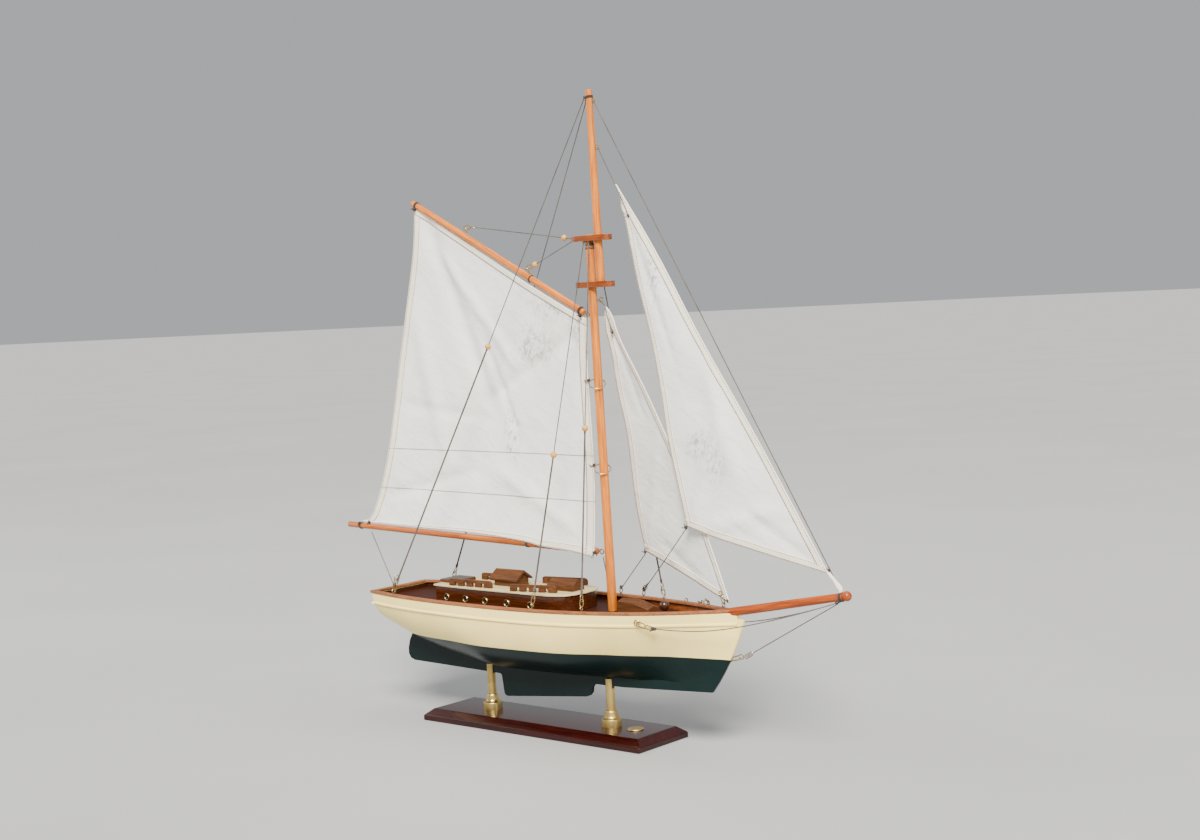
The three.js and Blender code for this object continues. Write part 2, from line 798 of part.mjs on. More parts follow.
// ---------------------------------------------------------------- rigging
const HOUNDS_Z = 443.2;
const TRUCK_Z = 569;
const RIGGING = {
  starboard_fore_shroud: [[77.3, -4.6, HOUNDS_Z], [81.6, -42.8, 125.5]],
  starboard_aft_shroud: [[71.4, -4.6, HOUNDS_Z], [29, -48.6, 125.5]],
  port_fore_shroud: [[77.3, 4.6, HOUNDS_Z], [109, 38.6, 125.5]],
  port_aft_shroud: [[71.4, 4.6, HOUNDS_Z], [42.5, 47.4, 125.5]],
  starboard_backstay: [[78, -1.8, TRUCK_Z], [-156, -42.6, 125]],
  port_backstay: [[78, 1.8, TRUCK_Z], [-160, 42.6, 125]],
  forestay: [[85.8, 0, 566], [321.6, 0, 149.6]],
  bobstay: [[319, 0, 138.6], [226, 0, 87.2]],
  jib_halyard: [[88.6, 0, 525], [106, 0, 491.8]],
  staysail_halyard: [[82.4, 0, 392], [88.2, 0, 387]],
  peak_halyard_outer: [[-66, 0, 457.2], [54.8, 0, 447]],
  peak_halyard_inner: [[4, 0, 422], [54.8, 0, 445]],
  mainsheet: [[-228, -1.4, 172.4], [-158.4, -39.6, 128]],
  jib_sheet: [[168.4, -1.6, 192.6], [82, 43, 127]],
  staysail_sheet: [[95.4, 31.2, 162.6], [54, 45.4, 127]],
  main_tack_line: [[71.4, 1.4, 163], [75.4, 7.6, 117]],
};
const BOWSPRIT_SHROUD = [
  [152, 32.4, 110.2],
  [176, 27.9, 109.6],
  [203.4, 23, 110.9],
  [237.3, 17.1, 116.7],
  [278.5, 9.9, 127],
  [317.5, 3.4, 138.8],
];
const BEADS = {
  starboard_backstay: 354,
  port_backstay: 354,
  starboard_fore_shroud: 280.2,
  port_fore_shroud: 280.2,
  starboard_aft_shroud: 257,
  port_aft_shroud: 257,
};

// Round wooden bead threaded on a stay, its hole clear of the thread.
function bead(line, z) {
  const [top, bottom] = RIGGING[line].map((p) => point(...p));
  const along = (top.z - z) / (top.z - bottom.z);
  const centre = top.clone().lerp(bottom, along);
  const radius = 2.9;
  const hole = THREAD + 0.5;
  const profile = [];
  const reach = Math.acos(hole / radius);
  for (let i = 0; i <= 6; i++) {
    const angle = -reach + (2 * reach * i) / 6;
    profile.push(new THREE.Vector2(radius * Math.cos(angle), radius * Math.sin(angle)));
  }
  profile.push(profile[0].clone());
  const geometry = new THREE.LatheGeometry(profile, 12);
  const direction = top.clone().sub(bottom).normalize();
  geometry.applyQuaternion(new THREE.Quaternion().setFromUnitVectors(point(0, 1, 0), direction));
  return geometry.translate(centre.x, centre.y, centre.z);
}

// ---------------------------------------------------------------- assembly
function buildStand() {
  add("base_plinth", plinth(), MAHOGANY());
  add("base_plaque", plaque(), BRASS());
  for (const [end, x] of [
    ["aft", -PILLAR.x],
    ["fore", PILLAR.x],
  ]) {
    add(end + "_pillar_foot", pillarFoot(x), BRASS());
    add(end + "_pillar_tube", pillarTube(x), BRASS());
  }
}

function buildHull() {
  add("hull", hull(), HULL_PAINT());
  add("keel_board", keelBoard(), KEEL_PAINT());
  add("deck", deck(), DECK_WOOD());
  add("cap_rail", capRail(), RAIL_WOOD());
}

function buildCabin() {
  add("cabin_trunk", trunk(), MAHOGANY());
  add("cabin_roof", roof(), ROOF_PAINT());
  for (const { name, x, y, turn, length } of WINDOW_STRIPS) {
    add(name, windowStrip(length).rotateZ(turn).translate(x, y, ON_ROOF), HATCH_WOOD());
  }
  add("aft_companion", companionway(AFT_COMPANION), HATCH_WOOD());
  add("fore_companion", gabledHatch(FORE_COMPANION), HATCH_WOOD());
  add("sliding_hatch", slidingHatch(), HATCH_WOOD());
  add("foredeck_hatch", foredeckHatch(), HATCH_WOOD());
  add("bollard", bollard(), BOLLARD_WOOD());
}

function buildSpars() {
  add("lower_mast", mast(LOWER_MAST), SPAR_WOOD());
  add("topmast", mast(TOPMAST), SPAR_WOOD());
  add("mast_cap", mastPlank(MAST_CAP), SPAR_WOOD());
  add("trestle_plank", mastPlank(TRESTLE), SPAR_WOOD());
  add("bowsprit", bowsprit(), SPAR_WOOD());
  add("boom", spar(BOOM), SPAR_WOOD());
  add("gaff", spar(GAFF), SPAR_WOOD());
  add("gooseneck_eye", uprightEye(71.4, 168, 2.1, 0.55), BRASS());
  add("throat_eye", uprightEye(68.4, 379.4, 1.7, 0.5), BRASS());
  for (const [word, z] of Object.entries(HOOP.heights)) add(word + "_mast_hoop", mastHoop(z), BRASS());
}

function buildSails() {
  add("mainsail", plateAlongShip(MAINSAIL, CLOTH), SAIL_COTTON());
  add("jib", plateAlongShip(JIB, CLOTH).translate(0, -1.6, 0), SAIL_COTTON());
  add("staysail", staysail(), SAIL_COTTON());
}

function buildRigging() {
  for (const [name, ends] of Object.entries(RIGGING)) {
    add(name, thread(...ends.map((p) => point(...p))), RIGGING_THREAD());
  }
  for (const [word, side] of [
    ["port", PORT],
    ["starboard", STARBOARD],
  ]) {
    const route = BOWSPRIT_SHROUD.map(([x, y, z]) => point(x, side * y, z));
    add(word + "_bowsprit_shroud", thread(...route), RIGGING_THREAD());
  }
  for (const [line, z] of Object.entries(BEADS)) add(line + "_bead", bead(line, z), BEAD_WOOD());
}

buildStand();
buildHull();
buildCabin();
buildSpars();
buildSails();
buildRigging();

export default ship;
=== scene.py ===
"""Looks of a decorative gaff-cutter sailing model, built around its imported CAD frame.

Lengths are written in millimetres, as in the CAD source, and each mesh is scaled to metres as it is made.
+X is the bow, +Y is port and +Z is up.
"""

import math

import bmesh
import bpy
from mathutils import Matrix, Vector


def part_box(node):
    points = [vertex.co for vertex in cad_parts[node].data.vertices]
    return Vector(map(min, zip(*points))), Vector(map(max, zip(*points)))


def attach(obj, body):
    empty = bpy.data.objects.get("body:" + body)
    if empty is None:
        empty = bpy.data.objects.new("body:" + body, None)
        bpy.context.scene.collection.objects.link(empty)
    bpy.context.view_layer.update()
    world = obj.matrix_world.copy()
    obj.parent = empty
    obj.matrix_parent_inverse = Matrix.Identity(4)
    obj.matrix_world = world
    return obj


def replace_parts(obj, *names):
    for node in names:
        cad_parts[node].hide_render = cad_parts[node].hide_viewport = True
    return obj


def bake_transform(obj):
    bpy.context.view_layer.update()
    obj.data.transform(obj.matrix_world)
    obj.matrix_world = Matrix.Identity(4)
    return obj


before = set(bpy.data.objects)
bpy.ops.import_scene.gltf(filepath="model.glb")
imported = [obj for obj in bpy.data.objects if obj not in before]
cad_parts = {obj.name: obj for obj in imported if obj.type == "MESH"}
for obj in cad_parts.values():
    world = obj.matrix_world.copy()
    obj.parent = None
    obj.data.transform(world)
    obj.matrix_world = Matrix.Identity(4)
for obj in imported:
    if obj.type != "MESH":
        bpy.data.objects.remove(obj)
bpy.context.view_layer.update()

MM = 0.001
PORT = 1
STARBOARD = -1

# ------------------------------------------------------------------ camera
LENS = 54.785
CAMERA_PLACE = Vector((1123.6, -1228.7, 389.9)) * MM
CAMERA_AZIMUTH = math.radians(40.435)
CAMERA_PITCH = math.radians(3.693)
CAMERA_ROLL = math.radians(-2.739)


def add_camera():
    data = bpy.data.cameras.new("studio_camera")
    data.lens = LENS
    data.sensor_width = 36
    data.clip_start = 0.05
    data.clip_end = 50
    camera = bpy.data.objects.new("studio_camera", data)
    bpy.context.collection.objects.link(camera)
    flat = math.cos(CAMERA_PITCH)
    north = math.cos(CAMERA_AZIMUTH)
    east = math.sin(CAMERA_AZIMUTH)
    forward = Vector((-east * flat, north * flat, -math.sin(CAMERA_PITCH)))
    right = Vector((north, east, 0))
    up = right.cross(forward)
    across = right * math.cos(CAMERA_ROLL) + up * math.sin(CAMERA_ROLL)
    upward = up * math.cos(CAMERA_ROLL) - right * math.sin(CAMERA_ROLL)
    turn = Matrix((across, upward, -forward)).transposed()
    camera.matrix_world = Matrix.Translation(CAMERA_PLACE) @ turn.to_4x4()
    bpy.context.scene.camera = camera


add_camera()


# ------------------------------------------------------------------ mesh making
CREASE = math.radians(38)
CAD_CREASE = math.radians(35)


def make(name, vertices, faces, look, body=None, smooth=True, scale=MM):
    """A mesh object from points in millimetres, or in other lengths with their scale to metres."""
    mesh = bpy.data.meshes.new(name)
    mesh.from_pydata([Vector(v) * scale for v in vertices], [], faces)
    mesh.update()
    piece = bpy.data.objects.new(name, mesh)
    bpy.context.collection.objects.link(piece)
    mesh.materials.append(look)
    if smooth:
        mesh.polygons.foreach_set("use_smooth", [True] * len(mesh.polygons))
        mesh.set_sharp_from_angle(angle=CREASE)
    tidy(piece)
    if body:
        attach(piece, body)
    return piece


def tidy(piece):
    """Doubled points are merged and the faces look outwards."""
    work = bmesh.new()
    work.from_mesh(piece.data)
    bmesh.ops.remove_doubles(work, verts=work.verts, dist=1e-7)
    bmesh.ops.recalc_face_normals(work, faces=work.faces)
    work.to_mesh(piece.data)
    work.free()


def together(parts):
    """Several (vertices, faces) parts as one."""
    vertices = []
    faces = []
    for part_vertices, part_faces in parts:
        shift = len(vertices)
        vertices.extend(part_vertices)
        faces.extend([tuple(i + shift for i in face) for face in part_faces])
    return vertices, faces


def skin(rings, closed_ring=True, capped=True):
    """Faces between rings of points, each with the same count."""
    count = len(rings[0])
    vertices = [tuple(p) for ring in rings for p in ring]
    faces = []
    span = count if closed_ring else count - 1
    for r in range(len(rings) - 1):
        for i in range(span):
            a = r * count + i
            b = r * count + (i + 1) % count
            faces.append((a, b, b + count, a + count))
    if capped:
        faces.append(tuple(range(count)))
        last = (len(rings) - 1) * count
        faces.append(tuple(last + i for i in reversed(range(count))))
    return vertices, faces


def sweep(points, radius, sides, closed=False):
    """A round tube along points; radius is one number or one for each point."""
    points = [Vector(p) for p in points]
    count = len(points)
    radii = [radius] * count if isinstance(radius, (int, float)) else list(radius)
    tangents = []
    for i in range(count):
        before = points[(i - 1) % count] if closed or i else points[0]
        after = points[(i + 1) % count] if closed or i < count - 1 else points[-1]
        tangents.append((after - before).normalized())
    normal = tangents[0].orthogonal().normalized()
    frames = []
    for tangent in tangents:
        normal = (normal - tangent * normal.dot(tangent)).normalized()
        frames.append((normal.copy(), tangent.cross(normal)))
    rings = []
    for point, (n, b), r in zip(points, frames, radii):
        angles = (2 * math.pi * k / sides for k in range(sides))
        rings.append([point + (n * math.cos(a) + b * math.sin(a)) * r for a in angles])
    if closed:
        twist = min(range(sides), key=lambda k: (rings[0][k] - rings[-1][0]).length)
        rings.append(rings[0][twist:] + rings[0][:twist])
    return skin(rings, capped=not closed)


def around(direction):
    """The unit axis and a function that gives the outward direction at an angle round it."""
    axis = Vector(direction).normalized()
    side = axis.orthogonal().normalized()
    other = axis.cross(side)
    return axis, lambda angle: side * math.cos(angle) + other * math.sin(angle)


def lathe(profile, foot, direction=(0, 0, 1), sides=48):
    """A turned shape from (radius, height) points, standing on foot along direction."""
    axis, outward = around(direction)
    foot = Vector(foot)
    turns = [outward(2 * math.pi * k / sides) for k in range(sides)]
    rings = []
    for radius, height in profile:
        rings.append([foot + axis * height + turn * max(radius, 1e-3) for turn in turns])
    return skin(rings)


def lathe_ring(profile, foot, direction, sides=40):
    """A turned shape with a hole through it; the profile ends where it starts."""
    axis, outward = around(direction)
    foot = Vector(foot)
    rings = []
    for k in range(sides + 1):
        out = outward(2 * math.pi * k / sides)
        rings.append([foot + axis * h + out * r for r, h in profile[:-1]])
    return skin(rings, capped=False)


def ball(radius, centre, lowest, steps):
    """Profile points up a ball from just past its lowest angle to its top, with its centre at a height."""
    angles = (lowest + (math.pi / 2 - lowest) * k / steps for k in range(1, steps + 1))
    return [(radius * math.cos(a), centre + radius * math.sin(a)) for a in angles]


def rounded(profile, corner, steps):
    """The profile with every corner between its two ends rounded off."""
    points = [Vector((r, h, 0)) for r, h in profile]
    result = [points[0]]
    for before, at, after in zip(points, points[1:], points[2:]):
        cut = min(corner, (before - at).length / 2.2, (after - at).length / 2.2)
        start = at + (before - at).normalized() * cut
        end = at + (after - at).normalized() * cut
        for k in range(steps + 1):
            t = k / steps
            result.append(start.lerp(at, t).lerp(at.lerp(end, t), t))
    result.append(points[-1])
    return [(p.x, p.y) for p in result]


def ring(centre, facing, radius, wire, sides=8, steps=28):
    """A closed wire ring."""
    outward = around(facing)[1]
    path = [Vector(centre) + outward(2 * math.pi * k / steps) * radius for k in range(steps)]
    return sweep(path, wire, sides, closed=True)


def link(start, end, half_width, wire, flat=(0, 0, 1)):
    """A long closed wire loop from start to end, such as a rigging hook."""
    start = Vector(start)
    end = Vector(end)
    along = (end - start).normalized()
    across = along.cross(Vector(flat)).normalized()
    bend = []
    for k in range(9):
        a = math.pi * k / 8
        bend.append((across * math.cos(a) + along * (math.sin(a) - 1)) * half_width)
    path = [end + step for step in bend] + [start - step for step in bend]
    return sweep(path, wire, 8, closed=True)


def hook_pair(start, end, half_width=1.75, wire=0.46, turn=(1, 0.1, 0)):
    """Two wire hooks caught in one another between two points."""
    start = Vector(start)
    end = Vector(end)
    along = (end - start).normalized()
    middle = start.lerp(end, 0.5)
    other = along.cross(Vector(turn))
    return [
        link(start, middle + along * half_width * 0.7, half_width, wire, turn),
        link(middle - along * half_width * 0.7, end, half_width, wire, other),
    ]


def knot(centre, size, along):
    """A small tied bundle of thread with two cut ends."""
    centre = Vector(centre)
    along = Vector(along).normalized()
    across = along.orthogonal().normalized()
    parts = [
        coil(centre, along, size * 0.55, size * 0.34, 2.2, size * 0.5),
        coil(centre + across * 0.2 * size, across, size * 0.6, size * 0.32, 1.6, size * 0.45),
    ]
    for lean in (0.7, -0.5):
        end = centre + (across * lean - along) * size * 1.7
        parts.append(sweep([centre, centre.lerp(end, 0.5) + across * size * 0.4, end], size * 0.24, 6))
    return parts


def twisted_cloth(points, width, thickness, turns):
    """A strip of cloth twisted along the points, fullest past its middle."""
    path = smooth_path(points, 10)
    rings = []
    for k, point in enumerate(path):
        share = k / (len(path) - 1)
        along = (path[min(k + 1, len(path) - 1)] - path[max(k - 1, 0)]).normalized()
        side = along.cross(Vector((0, 1, 0))).normalized()
        other = along.cross(side)
        angle = 2 * math.pi * turns * share
        wide = side * math.cos(angle) + other * math.sin(angle)
        narrow = other * math.cos(angle) - side * math.sin(angle)
        half = width / 2 * (0.35 + 0.65 * math.sin(math.pi * share**1.5))
        ring_points = []
        for j in range(16):
            a = 2 * math.pi * j / 16
            ring_points.append(point + wide * half * math.cos(a) + narrow * thickness * math.sin(a))
        rings.append(ring_points)
    return skin(rings)


def coil(centre, direction, radius, wire, turns, pitch):
    """Thread wound round a spar."""
    axis, outward = around(direction)
    path = []
    for k in range(int(turns * 20) + 1):
        rise = (k / 20 - turns / 2) * pitch
        path.append(Vector(centre) + axis * rise + outward(2 * math.pi * k / 20) * radius)
    return sweep(path, wire, 6)


def smooth_path(points, steps):
    """A Catmull-Rom curve through the points."""
    points = [Vector(p) for p in points]
    if len(points) == 2:
        return [points[0].lerp(points[1], k / steps) for k in range(steps + 1)]
    padded = [points[0], *points, points[-1]]
    result = []
    for a, b, c, d in zip(padded, padded[1:], padded[2:], padded[3:]):
        for k in range(steps):
            t = k / steps
            bend = (2 * a - 5 * b + 4 * c - d) * t * t + (3 * b - a - 3 * c + d) * t * t * t
            result.append(0.5 * (2 * b + (c - a) * t + bend))
    result.append(points[-1])
    return result


def refined(node, body, look, bevel, segments=3):
    """The CAD node's own shape with softened edges and a finished surface."""
    piece = bpy.data.objects.new(node + "_finished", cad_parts[node].data.copy())
    bpy.context.collection.objects.link(piece)
    piece.data.materials.clear()
    piece.data.materials.append(look)
    work = bmesh.new()
    work.from_mesh(piece.data)
    bmesh.ops.remove_doubles(work, verts=work.verts, dist=2e-6)
    bmesh.ops.dissolve_limit(work, angle_limit=math.radians(2), verts=work.verts, edges=work.edges)
    work.to_mesh(piece.data)
    work.free()
    edges = piece.modifiers.new("softened_edges", "BEVEL")
    edges.width = bevel * MM
    edges.segments = segments
    edges.limit_method = "ANGLE"
    edges.angle_limit = CAD_CREASE
    edges.harden_normals = True
    piece.data.polygons.foreach_set("use_smooth", [True] * len(piece.data.polygons))
    piece.data.set_sharp_from_angle(angle=CAD_CREASE)
    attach(piece, body)
    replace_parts(piece, node)


# ------------------------------------------------------------------ materials
class Look:
    """A node material built on one Principled shader, with textures placed by object coordinates."""

    def __init__(self, name, roughness=0.5, metallic=0.0, coat=0.0, coat_roughness=0.05):
        self.material = bpy.data.materials.new(name)
        self.material.use_nodes = True
        self.nodes = self.material.node_tree.nodes
        self.links = self.material.node_tree.links
        self.shader = self.nodes["Principled BSDF"]
        self.shader.inputs["Roughness"].default_value = roughness
        self.shader.inputs["Metallic"].default_value = metallic
        self.shader.inputs["Coat Weight"].default_value = coat
        self.shader.inputs["Coat Roughness"].default_value = coat_roughness
        self.bump_before = None

    def join(self, source, target):
        self.links.new(source, target)

    def feed(self, values, sockets):
        """Each number or colour is set on its socket, and anything else is joined to it."""
        for value, socket in zip(values, sockets):
            if isinstance(value, (int, float)):
                socket.default_value = value
            elif isinstance(value, tuple):
                socket.default_value = (*value, 1)
            else:
                self.join(value, socket)

    def place(self, grain, turn=(0, 0, 0)):
        """Object coordinates turned so that the grain lies along X and divided by grain, in millimetres."""
        source = self.nodes.new("ShaderNodeTexCoord")
        mapping = self.nodes.new("ShaderNodeMapping")
        mapping.vector_type = "TEXTURE"
        mapping.inputs["Rotation"].default_value = turn
        mapping.inputs["Scale"].default_value = [g * MM for g in grain]
        self.join(source.outputs["Object"], mapping.inputs["Vector"])
        return mapping.outputs["Vector"]

    def noise(self, vector, detail, roughness, distortion=0.0):
        node = self.nodes.new("ShaderNodeTexNoise")
        inputs = [node.inputs[word] for word in ("Vector", "Scale", "Detail", "Roughness", "Distortion")]
        self.feed((vector, 1.0, detail, roughness, distortion), inputs)
        return node.outputs["Fac"]

    def wave(self, vector, scale, distortion, direction, detail):
        node = self.nodes.new("ShaderNodeTexWave")
        node.bands_direction = direction
        inputs = [node.inputs[word] for word in ("Vector", "Scale", "Distortion", "Detail")]
        self.feed((vector, scale, distortion, detail), inputs)
        return node.outputs["Fac"]

    def ramp(self, factor, stops):
        node = self.nodes.new("ShaderNodeValToRGB")
        elements = node.color_ramp.elements
        while len(elements) < len(stops):
            elements.new(0.5)
        for element, (position, colour) in zip(elements, stops):
            element.position = position
            element.color = (*colour, 1) if len(colour) == 3 else colour
        self.join(factor, node.inputs["Fac"])
        return node.outputs["Color"]

    def grey(self, factor, low, high, start=0.3, end=0.7):
        """Factor between two positions turned into a number between low and high."""
        node = self.nodes.new("ShaderNodeMapRange")
        inputs = [node.inputs[word] for word in ("Value", "From Min", "From Max", "To Min", "To Max")]
        self.feed((factor, start, end, low, high), inputs)
        return node.outputs["Result"]

    def mix(self, factor, first, second, mode="MIX"):
        node = self.nodes.new("ShaderNodeMix")
        node.data_type = "RGBA"
        node.blend_type = mode
        self.feed((factor, first, second), (node.inputs[0], node.inputs[6], node.inputs[7]))
        return node.outputs[2]

    def regions(self, places):
        """One in the middle of each oval given as (x, z, reach x, reach z), fading to none at its edge."""
        total = None
        for x, z, reach_x, reach_z in places:
            source = self.nodes.new("ShaderNodeTexCoord")
            mapping = self.nodes.new("ShaderNodeMapping")
            mapping.vector_type = "TEXTURE"
            mapping.inputs["Location"].default_value = (x * MM, 0, z * MM)
            mapping.inputs["Scale"].default_value = (reach_x * MM, 1, reach_z * MM)
            self.join(source.outputs["Object"], mapping.inputs["Vector"])
            distance = self.nodes.new("ShaderNodeVectorMath")
            distance.operation = "LENGTH"
            self.join(mapping.outputs["Vector"], distance.inputs[0])
            near = self.grey(distance.outputs["Value"], 1.0, 0.0, 0.3, 1.0)
            total = near if total is None else self.maths("MAXIMUM", total, near)
        return total

    def maths(self, operation, first, second):
        node = self.nodes.new("ShaderNodeMath")
        node.operation = operation
        self.feed((first, second), node.inputs)
        return node.outputs[0]

    def colour(self, socket):
        self.join(socket, self.shader.inputs["Base Color"])

    def rough(self, socket):
        self.join(socket, self.shader.inputs["Roughness"])

    def bump(self, height, depth):
        """Bump of that depth in millimetres."""
        node = self.nodes.new("ShaderNodeBump")
        node.inputs["Strength"].default_value = 1.0
        node.inputs["Distance"].default_value = depth * MM
        self.join(height, node.inputs["Height"])
        if self.bump_before is not None:
            self.join(self.bump_before, node.inputs["Normal"])
        self.bump_before = node.outputs["Normal"]
        self.join(node.outputs["Normal"], self.shader.inputs["Normal"])


def wood(name, dark, light, roughness, coat=0.0, angle=0.0, figure=1.0, gloss=0.3, painted_light_ovals=None):
    """Varnished wood whose grain runs along X turned up by angle degrees in the X-Z plane.

    Where ovals of painted light are given, painted shade darkens the rest of the piece.
    """
    look = Look(name, roughness, coat=coat, coat_roughness=0.12)
    look.shader.inputs["Specular IOR Level"].default_value = gloss
    turn = (0, math.radians(-angle), 0)
    grain = look.place((30 * figure, 1.6 * figure, 1.6 * figure), turn)
    fine = look.place((9, 0.35, 0.35), turn)
    broad = look.place((60, 14, 14), turn)
    streaks = look.noise(grain, 6, 0.6, 0.4)
    fibres = look.noise(fine, 3, 0.6)
    clouds = look.noise(broad, 2, 0.5)
    middle = tuple((d + l) / 2 for d, l in zip(dark, light))
    base = look.ramp(streaks, [(0.32, dark), (0.5, middle), (0.68, light)])
    speckle = look.ramp(fibres, [(0.3, (0.72, 0.7, 0.66)), (0.62, (1, 1, 1))])
    toned = look.mix(0.55, base, speckle, "MULTIPLY")
    shade = look.ramp(clouds, [(0.3, (0.8, 0.78, 0.76)), (0.7, (1.08, 1.06, 1.04))])
    tone = look.mix(0.7, toned, shade, "MULTIPLY")
    if painted_light_ovals:
        # Painted shade: outside the ovals of painted light the wood is multiplied much darker.
        deep = look.mix(1.0, tone, (0.2, 0.17, 0.15), "MULTIPLY")
        tone = look.mix(look.regions(painted_light_ovals), deep, tone)
    look.colour(tone)
    look.rough(look.grey(fibres, roughness * 0.8, roughness * 1.25))
    look.bump(fibres, 0.03)
    look.bump(streaks, 0.05)
    return look.material


def brass(name, tint, roughness):
    """Brass with a slight dull haze and fine polishing scratches."""
    look = Look(name, roughness, metallic=1.0)
    haze = look.noise(look.place((12, 12, 12)), 5, 0.6)
    scratches = look.noise(look.place((0.5, 9, 9)), 2, 0.5)
    dull = tuple(t * f for t, f in zip(tint, (0.72, 0.66, 0.56)))
    look.colour(look.ramp(haze, [(0.32, dull), (0.62, tint)]))
    look.rough(look.grey(haze, roughness * 1.6, roughness * 0.8))
    look.bump(scratches, 0.012)
    return look.material


WATERLINE_Z = 81.5
WATERLINE_SLOPE = 0.006


def hull_paint(name):
    """Cream topsides over a dark green bottom, parted at a straight painted line."""
    look = Look(name, 0.36, coat=0.04, coat_roughness=0.1)
    look.shader.inputs["Specular IOR Level"].default_value = 0.16
    source = look.nodes.new("ShaderNodeTexCoord")
    split = look.nodes.new("ShaderNodeSeparateXYZ")
    look.join(source.outputs["Object"], split.inputs["Vector"])
    lift = look.maths("MULTIPLY", split.outputs["X"], WATERLINE_SLOPE)
    height = look.maths("SUBTRACT", split.outputs["Z"], lift)
    above = look.grey(height, 0.0, 1.0, (WATERLINE_Z - 0.15) * MM, (WATERLINE_Z + 0.15) * MM)
    clouds = look.noise(look.place((40, 40, 40)), 4, 0.55)
    specks = look.noise(look.place((1.2, 1.2, 1.2)), 3, 0.6)
    cream = look.ramp(clouds, [(0.3, (0.93, 0.73, 0.25)), (0.7, (0.97, 0.79, 0.3))])
    green = look.ramp(clouds, [(0.3, (0.0016, 0.009, 0.0088)), (0.7, (0.003, 0.0135, 0.0125))])
    look.colour(look.mix(above, green, cream))
    look.rough(look.grey(specks, 0.26, 0.38))
    look.bump(clouds, 0.12)
    look.bump(specks, 0.012)
    return look.material


def worn_paint(name, dark, light):
    """Thin flat paint through which the wood's grain can be felt."""
    look = Look(name, 0.5)
    clouds = look.noise(look.place((25, 10, 10)), 4, 0.6)
    grain = look.noise(look.place((18, 0.8, 0.8)), 3, 0.6)
    look.colour(look.ramp(clouds, [(0.3, dark), (0.7, light)]))
    look.rough(look.grey(grain, 0.42, 0.6))
    look.bump(grain, 0.05)
    return look.material


# Grey marks on the cloth: centre and reach along X and Z, in millimetres.
SMUDGES = (
    (30, 388, 46, 16),
    (0, 352, 34, 26),
    (56, 372, 16, 34),
    (-34, 268, 14, 34),
    (190, 265, 26, 16),
    (147, 415, 10, 44),
    (206, 250, 14, 22),
)


def cotton(name, light, dark, smudged=True):
    """Plain-weave cotton with a slight nap, faint creases and a little grey dirt."""
    look = Look(name, 0.92)
    look.shader.inputs["Sheen Weight"].default_value = 0.15
    look.shader.inputs["Sheen Roughness"].default_value = 0.6
    warp = look.wave(look.place((1, 1, 1)), 0.45, 0.6, "X", 1)
    weft = look.wave(look.place((1, 1, 1)), 0.45, 0.6, "Z", 1)
    weave = look.maths("MULTIPLY", warp, weft)
    slubs = look.noise(look.place((1.2, 1.2, 1.2)), 4, 0.65)
    clouds = look.noise(look.place((55, 55, 55)), 4, 0.6)
    creases = look.noise(look.place((26, 26, 11), (0, 0.6, 0)), 3, 0.5, 0.6)
    wrinkles = look.noise(look.place((9, 9, 4), (0, -0.4, 0)), 3, 0.5, 0.8)
    base = look.ramp(clouds, [(0.3, dark), (0.7, light)])
    thread = look.ramp(slubs, [(0.3, (0.91, 0.905, 0.9)), (0.6, (1, 1, 1))])
    tone = look.mix(0.8, base, thread, "MULTIPLY")
    if smudged:
        marks = look.noise(look.place((4, 4, 7), (0, 0.5, 0)), 6, 0.75)
        spot = look.grey(marks, 0.0, 0.8, 0.47, 0.6)
        tone = look.mix(look.maths("MULTIPLY", look.regions(SMUDGES), spot), tone, (0.25, 0.25, 0.26))
    look.colour(tone)
    look.bump(weave, 0.05)
    look.bump(slubs, 0.06)
    look.bump(creases, 0.9)
    look.bump(wrinkles, 0.3)
    return look.material


def twisted_thread(name, light, dark):
    """Thread whose strands wind round one another."""
    look = Look(name, 0.85)
    look.shader.inputs["Sheen Weight"].default_value = 0.2
    twist = look.wave(look.place((1, 1, 1), (0.5, 0.7, 0.4)), 0.45, 1.2, "DIAGONAL", 2)
    fibres = look.noise(look.place((0.5, 0.5, 2.0)), 3, 0.6)
    shades = look.noise(look.place((14, 14, 14)), 2, 0.5)
    base = look.ramp(shades, [(0.35, dark), (0.65, light)])
    strands = look.ramp(twist, [(0.2, (0.62, 0.6, 0.58)), (0.7, (1, 1, 1))])
    look.colour(look.mix(0.5, base, strands, "MULTIPLY"))
    look.bump(twist, 0.12)
    look.bump(fibres, 0.04)
    return look.material


def porthole_glass(name):
    look = Look(name, 0.08)
    haze = look.noise(look.place((3, 3, 3)), 3, 0.5)
    look.colour(look.ramp(haze, [(0.3, (0.006, 0.004, 0.003)), (0.7, (0.02, 0.012, 0.008))]))
    return look.material


PLINTH_WOOD = wood(
    "plinth_mahogany", (0.009, 0.0008, 0.0006), (0.028, 0.003, 0.002), 0.2, coat=0.28, figure=1.3, gloss=0.2
)
DECK_WOOD = wood("deck_mahogany", (0.016, 0.0034, 0.0013), (0.048, 0.011, 0.0038), 0.5, gloss=0.12)
# Inside faces of the bulwarks: an oval of painted light towards the bow, painted shade over the rest.
BULWARK_WOOD = wood(
    "bulwark_varnish", (0.08, 0.017, 0.003), (0.25, 0.068, 0.01), 0.34, coat=0.1, painted_light_ovals=[(160, 125, 100, 300)]
)
RAIL_WOOD = wood("cap_rail_wood", (0.16, 0.05, 0.017), (0.32, 0.12, 0.045), 0.5, coat=0.03)
CABIN_WOOD = wood("cabin_mahogany", (0.02, 0.004, 0.001), (0.07, 0.017, 0.0035), 0.2, coat=0.35)
FITTING_WOOD = wood(
    "fitting_wood", (0.035, 0.0105, 0.0028), (0.125, 0.043, 0.009), 0.5, coat=0.04, figure=0.7
)
MAST_WOOD = wood("mast_wood", (0.42, 0.09, 0.006), (0.78, 0.25, 0.018), 0.32, coat=0.2, angle=91.2)
BOOM_WOOD = wood("boom_wood", (0.27, 0.052, 0.005), (0.5, 0.14, 0.014), 0.34, coat=0.2, angle=-1.8)
